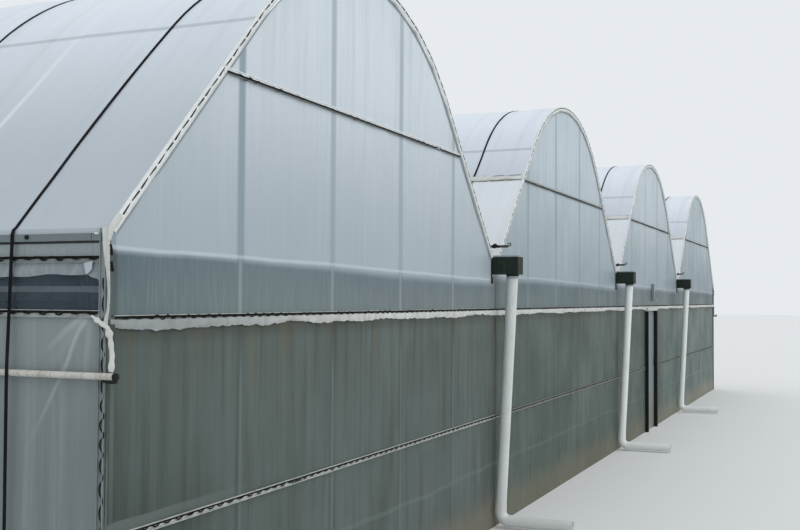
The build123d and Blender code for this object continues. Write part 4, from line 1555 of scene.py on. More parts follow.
        # Dark strips along the lap: painted shadow above it, and brown dirt with painted shadow below it.
        for name, side, lift, thick, slot, finish in (
            ("lap_shadow", 1.12, 0.003, 0.006, Slot.DARK, self.finishes.sheet),
            ("lap_stain", -1.1, 0.0012, 0.0035, Slot.ROOF, self.finishes.rust),
        ):
            rise = 0.005 * ripple(y, 0.22, 75 + index)
            sink = lift + thick * ripple(y, 0.13, 78 + index)
            path = grid(PLAN.centres[index] - ARCH.reach(height) + y * 0, y, height)
            path = path + SLOPE_UP * (side * self.lap_half + rise)[:, None] + out * sink[:, None]
            strip = Shape()
            strip.tube(path, thick, 6, out)
            strip.make(f"{name}_{index}", slot, finish)

    def build_straps(self, index: int) -> None:
        """Make the straps over one span, the outer ones run down to the ground.

        Args:
            index: number of the span from the left.
        """
        left, right = feet(index)
        points, normals = ARCH.line(left + 0.012, right + 0.012, self.step)
        centre = PLAN.centres[index]
        shape = Shape()
        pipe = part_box("roll_up_pipes")
        reach = pipe[1].x + 0.0012
        for row in self.strap_rows:
            depth = self.dip(np.array([row])) * self.hold(index, points[:, 0], points[:, 1]) - 0.001
            if index:
                over_lap = np.exp(-((points[:, 1] - LAP_HEIGHT) / 0.035) ** 2)
                depth = depth - 0.018 * over_lap * (points[:, 0] < 0)
            line = [(centre + x, z) for x, z in points - normals * depth[:, None]]
            ends = [way for way, last in ((-1, 0), (1, LAST_SPAN)) if index == last]
            for way in ends:
                down = [
                    (way * (PLAN.side_face + 0.007), PLAN.eave_top + 0.002),
                    (way * (PLAN.side_face + 0.018), LIP_TOP + 0.004),
                    (way * (PLAN.side_face + 0.019), LIP_TOP - 0.008),
                    (way * (PLAN.side_face + 0.019), LIP_TOP - 0.036),
                    (way * reach, pipe[1].z - 0.005),
                    (way * reach, pipe[0].z + 0.005),
                    (way * (PLAN.side_face + 0.032), 0.7),
                    (way * (PLAN.side_face + 0.026), 0.0),
                ]
                line = down[::-1] + line if way < 0 else line + down
            self.add_strap(shape, np.array(line), row)
        shape.make(f"hold_down_straps_span_{index + 1}", Slot.DARK, self.finishes.strap)

    def add_strap(self, shape: Shape, line: Array, row: float) -> None:
        """Add one strap along a line of X and Z.

        Args:
            shape: where the strap is added.
            line: points of its inner face.
            row: Y of its middle.
        """
        ahead = unit(np.gradient(line, axis=0))
        out = grid(-ahead[:, 1], ahead[:, 0])
        drift = self.strap_drift * waves(line[:, 0] * 0.7, line[:, 1], 2.5, int(1000 + abs(row) * 10))
        bow = np.sin(np.pi * np.clip((line[:, 1] - PLAN.eave_top) / 1.7, 0, 1))
        drift = drift + self.strap_bow * bow * (line[:, 0] < PLAN.valleys[0])
        grids = []
        for lift in (self.strap_thickness, 0.0):
            face = line + lift * out
            sides = [row + drift + way * self.strap_width / 2 for way in (-1, 1)]
            grids.append(np.stack([grid(face[:, 0], y, face[:, 1]) for y in sides], axis=1))
        shape.slab(grids[0], grids[1])


@dataclass
class GableCover:
    """Film of one gable end: upper film with a clear strip, lower film and the ragged flap.

    Args:
        finishes: the materials.
        end: which gable it is.
        ripple: depth of the soft folds.
        flap_drop: usual height of the ragged flap.
        notch_play: room left round an outlet box.
        cover_width: width of the film over a corner channel.
    """

    finishes: Finishes
    end: End
    ripple: float = 0.004
    flap_drop: float = 0.034
    notch_play: float = 0.0075
    cover_width: float = 0.037

    def folds(self, x: Array, z: Array, hold: Array, seed: int) -> Array:
        """Depth of the soft folds, which run down the film and stop where it is held."""
        post = np.abs(np.sin(np.pi * x / POST_PITCH)) ** 0.5
        long_folds = waves(x, z * 0.12, 0.45, seed)
        return hold * post * (self.ripple * long_folds - 0.5 * self.ripple)

    def add_sheet(self, shape: Shape, x: Array, low: Array, high: Array, rows: int,
                  seed: int) -> float:
        """Add a sheet between two edges that vary along X.

        Args:
            shape: where it is added.
            x: places along the gable.
            low: height of the lower edge at each place.
            high: height of the upper edge at each place.
            rows: number of points up the sheet.
            seed: number that picks its folds.

        Returns:
            The flat area.
        """
        share = np.linspace(0, 1, rows)
        z = low[:, None] + (high - low)[:, None] * share[None]
        wide, hold = x[:, None], np.sin(np.pi * share)[None] ** 0.5
        out = self.folds(wide, z, hold, seed) - 0.0002
        shape.film(self.end, wide, z, out, SHEET_THICKNESS)
        tall = high - low
        return float(((tall[1:] + tall[:-1]) * np.diff(x)).sum() / 2)

    def build_upper(self, index: int) -> None:
        """Make the film that closes one span's gable above the lock line.

        Args:
            index: number of the span from the left.
        """
        name = f"gable_film_{self.end.word}_{index + 1}"
        low_corner, high_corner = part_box(name)
        centre = PLAN.centres[index]
        notch = PLAN.span / 2 - (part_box("gutter_boxes_front")[1].x - PLAN.valleys[-1]) + self.notch_play
        left = low_corner.x if index == 0 else centre - notch
        right = high_corner.x if index == LAST_SPAN else centre + notch
        shape = Shape()
        x = np.linspace(left, right, 91)
        area = self.add_sheet(shape, x, x * 0 + low_corner.z, ARCH.height(x - centre, 0.0036), 32, 100 + index)
        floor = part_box("gutter_boxes_front")[0].z + 0.0397
        for start, stop, there in ((low_corner.x, left, index > 0), (right, high_corner.x, index < LAST_SPAN)):
            if there:
                x = np.linspace(start, stop, 4)
                area += self.add_sheet(shape, x, x * 0 + low_corner.z, x * 0 + floor, 8, 100 + index)
        piece = shape.make(f"stretched_{name}", Slot.GABLE, self.finishes.gable)
        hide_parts(name)
        f"{self.end.word}_gable_posts"

    def build_lower(self, name: str) -> None:
        """Make one sheet of film below the lock line.

        Args:
            name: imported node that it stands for.
        """
        low_corner, high_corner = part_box(name)
        width = high_corner.x - low_corner.x
        x = np.linspace(low_corner.x, high_corner.x, math.ceil(width / 0.07) + 1)
        shape = Shape()
        self.add_sheet(shape, x, x * 0, x * 0 + high_corner.z, 20, 200)
        piece = shape.make(f"stretched_{name}", Slot.LOWER, self.finishes.lower)
        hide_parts(name)
        f"{self.end.word}_gable_posts"

    def build_flap(self) -> None:
        """Make the ragged edge of the upper film that hangs over the lock line."""
        reach = PLAN.wall_end - 0.004
        x = np.arange(-reach, reach, 0.02)
        drop = self.flap_drop + 0.007 * ripple(x, 0.9, 301) + 0.004 * ripple(x, 0.09, 302)
        drop = np.clip(drop, 0.014, 0.06)
        lip = CHANNEL_DEPTH + 2 * CLEARANCE
        profile_out = np.array([lip - 0.004, lip + 0.0015, lip + 0.003, lip + 0.002, lip, lip - 0.002])
        profile_down = np.array([0.0, 0.003, 0.018, 0.4, 0.75, 1.0])
        top = PLAN.lock_line - 0.0015 + 0.0015 * ripple(x, 0.12, 305)[:, None]
        down = np.where(profile_down[None] < 0.02, profile_down[None],
                        0.016 + profile_down[None] * drop[:, None])
        z = top - down
        loose = np.clip(profile_down, 0, 1)[None]
        out = profile_out[None] + loose * (0.004 * waves(x[:, None], z * 2.5, 0.07, 303)
                                           + 0.003 * waves(x[:, None], z, 0.3, 304))
        out = np.maximum(out, CLEARANCE + 0.003)
        shape = Shape()
        shape.film(self.end, x[:, None], z, out, TOUGH_FILM)
        shape.make(f"ragged_flap_{self.end.word}", Slot.GABLE, self.finishes.flap)

    def build_corner_covers(self) -> None:
        """Make the film that hides the corner channels, as wide as they are."""
        right = PLAN.wall_end - 0.004
        for side in Side:
            for name, low, high, slot, finish in (
                ("low", 0.002, PLAN.lock_line - 0.019, Slot.LOWER, self.finishes.lower),
                ("high", PLAN.lock_line + 0.019, PLAN.eave_top - 0.004, Slot.GABLE, self.finishes.gable),
            ):
                x = side.value * np.linspace(right - self.cover_width, right + 0.0025, 5)[:, None]
                z = np.linspace(low, high, 30)[None]
                out = CHANNEL_DEPTH + 0.0012 + 0.0012 * (1 + waves(x, z * 0.4, 0.09, 310)) * 0.5
                shape = Shape()
                shape.film(self.end, x, z, out, 0.001)
                shape.make(f"corner_cover_{name}_{self.end.word}_{side.word}", slot, finish)

    def build(self) -> None:
        """Make all the film of this gable."""
        for index in range(LAST_SPAN + 1):
            self.build_upper(index)
        for name in sorted(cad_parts):
            if name.startswith(f"lower_film_{self.end.word}"):
                self.build_lower(name)
        self.build_flap()
        self.build_corner_covers()


@dataclass
class SpringWire:
    """Black spring wire in every lock channel, and the white film pulled over the arch channels.

    Args:
        finishes: the materials.
        pitch: length of one wave of the wire.
        swing: how far the wire goes to each side.
        radius: radius of the wire with its coat.
        dash: pitch of the dashes that show along the arches.
        dash_inset: how far inside the arch's edge they lie.
        dash_radius: radius of the wire there.
    """

    finishes: Finishes
    pitch: float = 0.1
    swing: float = 0.0072
    radius: float = 0.0044
    dash: float = 0.1
    dash_inset: float = 0.0137
    dash_radius: float = 0.0046

    def wave(self, shape: Shape, start: Array, stop: Array, out: Array, seed: int) -> None:
        """Add a zigzag wire along a straight channel.

        Args:
            shape: where it is added.
            start: first point of the channel's middle.
            stop: last point.
            out: direction away from the wall.
            seed: number that picks its unevenness.
        """
        along = stop - start
        length = float(np.linalg.norm(along))
        along = along / length
        side = np.cross(out, along)
        distance = np.arange(0, length, self.pitch / 8)
        uneven = distance + 0.012 * ripple(distance, 0.7, seed)
        turn = np.sin(2 * np.pi * uneven / self.pitch)
        swing = self.swing * np.sign(turn) * np.abs(turn) ** 0.8
        swing = swing * (1 + 0.4 * ripple(distance, 0.33, seed + 50))
        path = start + along * distance[:, None] + side * swing[:, None]
        path = path + out * (0.0015 * np.cos(4 * np.pi * uneven / self.pitch))[:, None]
        shape.tube(path, self.radius, 4, out)

    def build_gable(self, end: End) -> None:
        """Make the wires of one gable's straight lines.

        Args:
            end: which gable it is.
        """
        out = np.array([0.0, float(end.value), 0.0])
        y = end.value * (PLAN.face + CHANNEL_DEPTH - self.radius + 0.001)
        reach = PLAN.wall_end - 0.04
        lock, knee, collar = Shape(), Shape(), Shape()
        height = PLAN.lock_line + 0.005
        front = y + end.value * 0.006
        self.wave(lock, np.array([-reach, front, height]), np.array([reach, front, height]), out, 1)
        stops = [-reach, reach]
        if end is End.FRONT:
            low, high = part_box("door_frame")
            stops = [-reach, low.x - 0.01, high.x + 0.01, reach]
        for left, right in zip(stops[::2], stops[1::2]):
            middle = KNEE_HEIGHT + 0.004
            self.wave(knee, np.array([left, y, middle]), np.array([right, y, middle]), out, 2)
        for index, centre in enumerate(PLAN.centres):
            half = ARCH.reach(COLLAR_HEIGHT) - ARCH_CHANNEL_WIDTH * 1.5 - 0.02
            middle = COLLAR_HEIGHT - 0.008
            self.wave(collar, np.array([centre - half, y, middle]), np.array([centre + half, y, middle]), out,
                      3 + index)
        lock.make(f"lock_line_wire_{end.word}", Slot.DARK, self.finishes.wire)
        knee.make(f"knee_line_wire_{end.word}", Slot.DARK, self.finishes.wire)
        collar.make(f"collar_line_wires_{end.word}", Slot.DARK, self.finishes.wire)

    def build_arches(self, end: End) -> None:
        """Make the white film over one gable's arch channels, a dark strip along its inner edge that is the
        bare lip darkened as painted shadow, and the wire that shows in it.

        Args:
            end: which gable it is.
        """
        film, edge, wire = Shape(), Shape(), Shape()
        face = PLAN.face + CHANNEL_DEPTH + CLEARANCE
        section = np.array([
            (-0.003, -0.012), (-0.0035, 0.001), (0.001, 0.0055), (0.006, 0.006), (0.0105, 0.002),
            (0.0135, 0.0008), (0.0165, 0.002), (0.022, 0.0055), (0.037, 0.005), (0.044, 0.001),
            (0.0445, -0.012),
        ])
        for index, centre in enumerate(PLAN.centres):
            left, right = feet(index)
            points, normals = ARCH.line(left + 0.004, right + 0.004, 0.05)
            distance = walked(points)
            bulge = 1 + 0.25 * ripple(distance, 0.25, 400 + index)
            # The second profile is a dark strip along the channel's inner edge: its bare lip, darkened as
            # painted shadow.
            for shape, profile in ((film, section), (edge, [(0.0425, -0.0105), (0.07, -0.0135)])):
                grids = []
                for thick in (0.0, LOOSE_FILM):
                    rows = []
                    for inset, lift in profile:
                        flat = points - normals * (inset + thick * np.sign(0.02 - inset))
                        out = face + np.where(lift > 0, lift * bulge, lift) - thick
                        rows.append(grid(centre + flat[:, 0], end.value * out, flat[:, 1]))
                    grids.append(np.stack(rows, axis=1))
                shape.slab(grids[0], grids[1])
            self.add_dashes(wire, centre, points, normals, distance, end, face)
        film.make(f"arch_edge_film_{end.word}", Slot.CHANNEL, self.finishes.wrap)
        edge.make(f"arch_inner_lip_{end.word}", Slot.CHANNEL, self.finishes.sheet)
        wire.make(f"arch_spring_wire_{end.word}", Slot.DARK, self.finishes.wire)

    def add_dashes(self, wire: Shape, centre: float, points: Array, normals: Array,
                   distance: Array, end: End, face: float) -> None:
        """Add the wire of one arch, which comes out of the film in slanting dashes.

        Args:
            wire: where it is added.
            centre: X of the span's middle.
            points: points along the arch.
            normals: outward normals there.
            distance: distance of each point from the foot.
            end: which gable it is.
            face: distance of the channel's face from the middle.
        """
        place = np.arange(0.05, distance[-1] - 0.05, self.dash / 9)
        x, z, nx, nz = [np.interp(place, distance, part) for part in
                        (points[:, 0], points[:, 1], normals[:, 0], normals[:, 1])]
        phase = place / self.dash + 0.06 * ripple(place, 0.6, 9)
        share = phase - np.floor(phase)
        shows = smooth_step(share, 0.06, 0.16) - smooth_step(share, 0.8, 0.9)
        slant = np.where(np.floor(phase) % 2 < 1, 1, -1) * (share - 0.5) * 0.008
        inset = self.dash_inset + slant
        out = face + 0.0055 * shows - 0.003
        path = grid(centre + x - nx * inset, end.value * out, z - nz * inset)
        wire.tube(path, self.dash_radius, 5, np.array([0, end.value, 0]))

    def build_side(self, side: Side) -> None:
        """Make the wires of one side wall.

        Args:
            side: which side wall it is.
        """
        out = np.array([float(side.value), 0.0, 0.0])
        x = side.value * (PLAN.side_face + CHANNEL_DEPTH - self.radius + 0.001)
        reach = PLAN.face - 0.045
        level, upright = Shape(), Shape()
        for height in (VENT_LINE + 0.004, CURTAIN_LINE + 0.004):
            self.wave(level, np.array([x, -reach, height]), np.array([x, reach, height]), out, 15)
        for end in End:
            y = end.value * (PLAN.face - 0.013)
            self.wave(upright, np.array([x, y, 0.01]), np.array([x, y, VENT_LINE - 0.09]), out, 17)
        level.make(f"side_line_wires_{side.word}", Slot.DARK, self.finishes.wire)
        upright.make(f"corner_wires_{side.word}", Slot.DARK, self.finishes.wire)

    def build(self) -> None:
        """Make the wire of every lock channel."""
        for end in End:
            self.build_gable(end)
            self.build_arches(end)
        for side in Side:
            self.build_side(side)


@dataclass
class SideWall:
    """One side wall: the curtain with its creases, the loose skirt film and the roll-up pipe.

    Args:
        finishes: the materials.
        side: which side wall it is.
        crease_depth: how far a crease stands out.
        fold_depth: depth of the soft folds.
        skirt_foot: usual height of the skirt's lower edge.
        skirt_flare: how far the skirt stands out at its lower edge.
        plug_length: how far a plug reaches into the roll-up pipe.
        bolt_radius: radius of the bolts' heads.
    """

    finishes: Finishes
    side: Side
    crease_depth: float = 0.007
    fold_depth: float = 0.004
    skirt_foot: float = 2.352
    skirt_flare: float = 0.012
    plug_length: float = 0.045
    bolt_radius: float = 0.013

    @property
    def way(self) -> int:
        """Which way along X this wall faces."""
        return self.side.value

    def creases(self, y: Array, z: Array) -> Array:
        """Depth of the creases that fan out from the curtain's two upper corners.

        Args:
            y: places along the wall.
            z: heights.

        Returns:
            The share of a full crease at each place.
        """
        total = np.zeros(np.broadcast(y, z).shape)
        for way in (-1, 1):
            across = way * y - CREASE_PIVOT
            down = CURTAIN_LINE - z
            turn = np.arctan2(-across, down)
            far = np.hypot(across, down)
            for crease in CREASES:
                middle = crease.turn + crease.bend * np.clip(1 - far / CREASE_BEND_REACH, 0, 1)
                fade = smooth_step(far, 0.02, 0.1) * (1 - smooth_step(far, crease.reach * 0.5, crease.reach))
                total += crease.share * fade * np.exp(-((turn - middle) * far / crease.half) ** 2)
        return total

    def build_curtain(self) -> None:
        """Make the curtain from its lock line to the ground."""
        name = f"{self.side.word}_side_film"
        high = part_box(name)[1]
        shape = Shape()
        near = np.linspace(-high.y, -high.y + 1.6, 66)
        middle = np.arange(-high.y + 1.7, high.y - 1.65, 0.12)
        y = np.concatenate([near, middle, -near[::-1]])
        top = CURTAIN_LINE + CHANNEL_WIDTH / 2
        z = np.linspace(0, top, 48)
        hold = np.sin(np.pi * np.linspace(0, 1, 48)) ** 0.4
        out = self.crease_depth * self.creases(y[:, None], z[None])
        out = out + self.fold_depth * hold * waves(y[:, None], z[None] * 0.25, 0.5, 500 + self.way)
        out = np.clip(out, -0.0025, 0.011) - 0.0004
        shape.film(self.side, y[:, None], z[None], out, 0.002)
        piece = shape.make(f"{self.side.word}_curtain", Slot.SIDE, self.finishes.side)
        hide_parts(name)
        self.build_skirt(high.y)
        self.build_net(high.y, top)
        self.build_beam_ends()
        for end in End:
            self.build_bunch(end)

    def build_skirt(self, reach: float) -> None:
        """Make the loose clear film that hangs from the vent's upper line.

        Args:
            reach: distance of the wall's ends from the middle.
        """
        ends = reach - 0.035
        near = np.linspace(-ends, -ends + 0.3, 31)
        y = np.concatenate([near, np.arange(-ends + 0.33, ends - 0.31, 0.04), -near[::-1]])
        foot = self.skirt_foot + 0.01 * ripple(y, 1.4, 520) + 0.005 * ripple(y, 0.3, 521)
        foot = foot - 0.028 * smooth_step(np.abs(y), ends - 0.09, ends - 0.012)
        foot = foot - 0.11 * smooth_step(np.abs(y), ends - 0.012, ends)
        share = np.linspace(0, 1, 9)
        top = PLAN.eave_top - 0.131
        z = top + (foot[:, None] - top) * share[None]
        loose = 1 + waves(y[:, None], z * 2, 0.16, 522)
        out = 0.0004 + self.skirt_flare * share[None] ** 1.5 * loose * 0.8
        out = np.clip(out, 0, 0.02) - 0.0008
        shape = Shape()
        shape.film(self.side, y[:, None], z, out, LOOSE_FILM)
        piece = shape.make(f"{self.side.word}_vent_skirt", Slot.SIDE, self.finishes.skirt)

    def build_net(self, reach: float, low: float) -> None:
        """Make the dark fine net behind the skirt, across the open vent.

        Args:
            reach: distance of the wall's ends from the middle.
            low: height of the curtain's top edge.
        """
        ends = reach - 0.002
        y = np.linspace(-ends, ends, 61)[:, None]
        z = np.array([low + 0.0005, 2.3, PLAN.eave_top - 0.132])[None]
        shape = Shape()
        shape.film(self.side, y, z, y * 0 - 0.0022, 0.0006)
        piece = shape.make(f"{self.side.word}_vent_net", Slot.SIDE, self.finishes.net)

    def build_beam_ends(self) -> None:
        """Make the last piece of the eave sheet, up to the corner channels, and a gathered bit of the skirt."""
        sheet, clip, gather = Shape(), Shape(), Shape()
        face = self.way * PLAN.side_face
        for end in End:
            stop, start = end.value * (PLAN.face - 0.03), end.value * (PLAN.face - 0.0855)
            for low, high, out in ((PLAN.eave_top - EAVE_DEPTH, PLAN.eave_top - 0.001, 0.0028),
                                   (LIP_TOP - 0.036, LIP_TOP, 0.015)):
                sheet.block((min(face, face + self.way * out), min(start, stop), low),
                            (max(face, face + self.way * out), max(start, stop), high))
            y = sorted([end.value * (PLAN.face - 0.066), end.value * (PLAN.face - 0.044)])
            x = sorted([face + self.way * 0.0152, face + self.way * 0.0185])
            clip.block((x[0], y[0], LIP_TOP - 0.006), (x[1], y[1], LIP_TOP + 0.003))
            corners = np.array([[(0.13, 2.419), (0.115, 2.364)], [(0.1, 2.427), (0.1, 2.372)],
                                [(0.075, 2.43), (0.078, 2.391)]])
            y = end.value * (PLAN.face - corners[..., 0])
            out = 0.0185 + 0.003 * np.sin(40 * corners[..., 0])
            gather.film(self.side, y, corners[..., 1], out, LOOSE_FILM)
        sheet.make(f"{self.side.word}_eave_ends", Slot.SHEET, self.finishes.eave)
        clip.make(f"{self.side.word}_eave_clips", Slot.CHANNEL, self.finishes.wrap)
        gather.make(f"{self.side.word}_skirt_gathers", Slot.SIDE, self.finishes.roof)

    def build_bunch(self, end: End) -> None:
        """Make the white film that is bunched round one corner, from the arch's foot to the roll pipe.

        Args:
            end: which gable the corner is on.
        """
        shape, wire = Shape(), Shape()
        pipe_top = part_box("roll_up_pipes")[1].z
        foot = PLAN.lock_line - 0.03
        z = np.linspace(foot, PLAN.eave_top + 0.004, 70)
        share = np.linspace(0, 1, 12)[None]
        high = smooth_step(z, PLAN.lock_line + 0.13, PLAN.eave_top)
        low = 1 - smooth_step(z, foot, PLAN.lock_line + 0.06)
        before = (0.012 - 0.009 * low)[:, None]
        behind = (0.007 + 0.031 * high + 0.016 * low)[:, None]
        run = -before + (before + behind) * share + 0.002 * ripple(z, 0.22, 551 + self.way)[:, None]
        edge = PLAN.face + CHANNEL_DEPTH + 0.0042
        side = PLAN.side_face + CHANNEL_DEPTH + 0.0022
        crumple = 0.0025 * np.abs(waves(share * 0.05, z[:, None] * 0.4, 0.022, 560))
        x = side + crumple - np.maximum(0, -run)
        y = edge + crumple - np.maximum(0, run)
        shape.slab(*(grid(self.way * (x - thick), end.value * (y - thick), z[:, None])
                     for thick in (0.0, LOOSE_FILM)))
        bends = np.array([
            (side + 0.003, PLAN.face - 0.075, CURTAIN_LINE - 0.008),
            (side + 0.004, PLAN.face - 0.03, CURTAIN_LINE - 0.036),
            (side + 0.002, edge + 0.001, CURTAIN_LINE - 0.064),
            (side - 0.016, edge + 0.005, CURTAIN_LINE - 0.118),
            (side - 0.031, edge + 0.005, CURTAIN_LINE - 0.2),
            (side - 0.024, edge + 0.005, pipe_top + 0.002),
        ])
        spot = np.linspace(0, len(bends) - 1, 60)
        place = grid(*(np.interp(spot, np.arange(len(bends)), part) for part in bends.T))
        radius = 0.0125 + 0.003 * ripple(spot, 0.8, 571)
        radius = radius * (0.45 + 0.55 * smooth_step(spot, 0, 0.8))
        out = np.array([1.0, 1.0, 0.0]) / math.sqrt(2)
        corner = np.array([self.way, end.value, 1.0])
        shape.tube(place * corner, radius, 10, out * corner, flat=0.34)
        knot = np.array([(side - 0.004, edge, PLAN.eave_top - 0.06),
                         (side - 0.018, edge + 0.002, PLAN.eave_top),
                         (side - 0.05, edge + 0.003, PLAN.eave_top + 0.032),
                         (side - 0.082, edge + 0.003, PLAN.eave_top + 0.066)])
        shape.tube(knot * corner, np.array([0.012, 0.022, 0.024, 0.02]), 10, np.array([0.0, end.value, 0.0]),
                   flat=0.3)
        for top, bottom, start, stop in ((2.51, 2.458, 0.008, 0.021), (2.428, 2.381, 0.015, 0.028)):
            ends = np.array([(side - start, edge + 0.004, top), (side - (start + stop) / 2, edge + 0.0055,
                             (top + bottom) / 2), (side - stop, edge + 0.004, bottom)])
            wire.tube(ends * corner, 0.0065, 6, ALONG)
        shape.make(f"{self.side.word}_{end.word}_bunched_film", Slot.SIDE, self.finishes.bunch)
        wire.make(f"{self.side.word}_{end.word}_corner_wire_ends", Slot.DARK, self.finishes.wire)

    def build_roll_pipe(self) -> None:
        """Make the roll-up pipe with its open ends."""
        low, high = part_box("roll_up_pipes")
        radius = (high.z - low.z) / 2
        y = np.linspace(low.y, high.y, 60)
        sway = 0.0012 * ripple(y, 3.0, 541)
        middle = self.way * (high.x - radius)
        path = grid(middle, y, (low.z + high.z) / 2 + sway)
        uneven = 1 + 0.02 * ripple(y, 0.5, 542)
        outer = radius * np.clip(uneven, 0.94, 1.0)
        depth = 0.08
        run = np.vstack([path, path[::-1]])
        bore = np.where(np.abs(path[::-1, 1]) > high.y - depth, radius - 0.003, radius - 0.012)
        shape = Shape()
        shape.lathe(run, np.concatenate([outer, bore]), 24, UP)
        piece = shape.make(f"{self.side.word}_roll_up_pipe", Slot.ROLL, self.finishes.roll)
        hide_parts("roll_up_pipes")
        plugs = Shape()
        for end in End:
            y = end.value * np.linspace(high.y - self.plug_length, high.y - 0.002, 3)
            place = grid(middle, y, (low.z + high.z) / 2)
            plugs.tube(place, radius - 0.0034, 16, UP)
            y = end.value * np.linspace(high.y - 0.014, high.y + 0.003, 3)
            place = grid(middle, y, (low.z + high.z) / 2)
            plugs.tube(place, radius + 0.0012, 16, UP)
            y = np.linspace(high.y - 0.085, high.y - 0.002, 9)
            drop = low.z - 0.001 - 0.006 * np.sin(np.pi * np.linspace(0.1, 0.9, 9))
            place = grid(middle, end.value * y, drop)
            plugs.tube(place, np.linspace(0.007, 0.012, 9), 8, ACROSS)
        plugs.make(f"{self.side.word}_roll_pipe_plugs", Slot.DARK, self.finishes.dark)

    def build_bolts(self) -> None:
        """Make the bolts along the eave beam."""
        shape = Shape()
        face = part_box("eave_beams")[1].x
        for row in np.arange(-PLAN.face + 0.482, PLAN.face - 0.4, HOOP_PITCH):
            start = np.array([self.way * (face - 0.001), row, LIP_TOP - 0.014])
            stop = start + [self.way * 0.007, 0, 0]
            path = np.array([start, (start + stop) / 2, stop])
            shape.tube(path, self.bolt_radius, 6, UP)
        shape.make(f"{self.side.word}_eave_bolts", Slot.DARK, self.finishes.dark)

    def build(self) -> None:
        """Make everything on this side wall."""
        self.build_curtain()
        self.build_roll_pipe()
        self.build_bolts()


@dataclass
class RainWater:
    """Rain pipes under the outlet boxes, and the lock wire at the foot of each left slope.

    Args:
        finishes: the materials.
        radius: outer radius of the pipes.
        wall: thickness of the pipes.
        socket: how far a socket stands out from the pipe.
        bend: radius of the elbow's middle line.
        top_reach: how far the pipe's head stands out from the gable.
        foot_reach: how far its straight line would at the ground.
        sides: number of sides of its section.
        curl: radius of the curled end of a valley's lock wire.
        wire_radius: radius of that end.
    """

    finishes: Finishes
    radius: float = 0.055
    wall: float = 0.003
    socket: float = 0.0035
    bend: float = 0.09
    top_reach: float = 0.19
    foot_reach: float = 0.068
    sides: int = 28
    curl: float = 0.014
    wire_radius: float = 0.0055

    def build_pipes(self, end: End) -> None:
        """Make the three pipes of one gable.

        Args:
            end: which gable it is.
        """
        name = f"downpipes_{end.word}"
        low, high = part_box(name)
        outlet = max(abs(low.y), abs(high.y))
        ground = self.radius + 0.02
        head = np.array([PLAN.face + self.top_reach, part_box("gutter_boxes_front")[0].z + 0.04])
        foot = np.array([PLAN.face + self.foot_reach, ground])
        lean = math.atan2(head[0] - foot[0], head[1] - foot[1])
        tangent = self.bend * math.tan((math.pi / 2 + lean) / 2)
        turns = np.linspace(0, math.pi / 2 + lean, 13)
        middle = foot[0] + tangent
        elbow = grid(
            middle - self.bend * np.cos(turns - lean),
            ground + self.bend - self.bend * np.sin(turns - lean),
        )
        line = np.vstack([head, head + (elbow[0] - head) * 0.93, elbow, [[elbow[-1][0] + 0.07, ground]],
                          [[outlet, ground]]])
        line = self.refine(line)
        distance = walked(line)
        start = float(np.linalg.norm(elbow[0] - head))
        length = self.bend * (math.pi / 2 + lean)
        fitting = (distance > start - 0.05) & (distance < start + length + 0.05)
        outer = self.radius + self.socket * fitting
        inner = np.full(len(line), self.radius - self.wall)
        for index, valley in enumerate(PLAN.valleys):
            path = grid(valley, end.value * line[:, 0], line[:, 1])
            shape = Shape()
            shape.lathe(np.vstack([path, path[::-1]]), np.concatenate([outer, inner]), self.sides, ACROSS)
            piece = shape.make(f"rain_pipe_{end.word}_{index + 1}", Slot.PIPE, self.finishes.pipe)
            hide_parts(name)

    @staticmethod
    def refine(line: Array) -> Array:
        """Split long runs so that the pipe's sockets start where they should.

        Args:
            line: points of the pipe's middle line.

        Returns:
            The same line with more points.
        """
        points = [line[0]]
        for start, stop in zip(line, line[1:]):
            count = max(1, math.ceil(float(np.linalg.norm(stop - start)) / 0.045))
            points.extend(start + (stop - start) * share for share in np.linspace(0, 1, count + 1)[1:])
        return np.array(points)

    def build_slope_feet(self) -> None:
        """Make the lock wire along the foot of each left slope, its end curled up in front."""
        wire = SpringWire(self.finishes)
        height = VALLEY_LOCK_HEIGHT
        for index, centre in enumerate(PLAN.centres[1:]):
            x = centre - ARCH.reach(height)
            out = SLOPE_OUT
            shape = Shape()
            base = np.array([x, 0, height]) + out * 0.008
            start = base - [0, PLAN.face + 0.1, 0]
            stop = base + [0, PLAN.face - 0.05, 0]
            wire.wave(shape, start, stop, out, 600 + index)
            turns = np.linspace(0, 1.5 * math.pi, 14)
            curl = grid(
                start[0],
                start[1] - self.curl * np.sin(turns),
                start[2] + self.curl * (1 - np.cos(turns)),
            )
            shape.tube(curl, self.wire_radius, 6, ACROSS)
            turns = np.linspace(0, 6 * math.pi, 60)
            valley = PLAN.valleys[index]
            knot = grid(
                valley - 0.115 + 0.085 * turns / turns[-1],
                -PLAN.face - 0.029 - 0.011 * np.cos(turns),
                height - 0.012 + 0.017 * np.sin(turns) + 0.012 * turns / turns[-1],
            )
            shape.tube(knot, 0.0062, 6, ACROSS)
            tail = np.array([knot[-1], (knot[-1] + start) / 2 - [0, 0, 0.008], start])
            shape.tube(tail, self.wire_radius, 6, UP)
            shape.make(f"valley_lock_wire_{index + 1}", Slot.DARK, self.finishes.wire)
            rail = Shape()
            flat = SLOPE_UP * 0.016
            ends = [np.array([x, y, height]) for y in (-PLAN.face - 0.085, PLAN.face - 0.02)]
            outer = np.array([[point + flat + out * 0.006, point - flat + out * 0.006] for point in ends])
            inner = np.array([[point + flat + out * 0.001, point - flat + out * 0.001] for point in ends])
            rail.slab(outer, inner)
            rail.make(f"valley_lock_rail_{index + 1}", Slot.CHANNEL, self.finishes.dark)

    def build(self) -> None:
        """Make the pipes, the valley wires and the brackets."""
        for end in End:
            self.build_pipes(end)
        self.build_slope_feet()
        self.build_brackets()

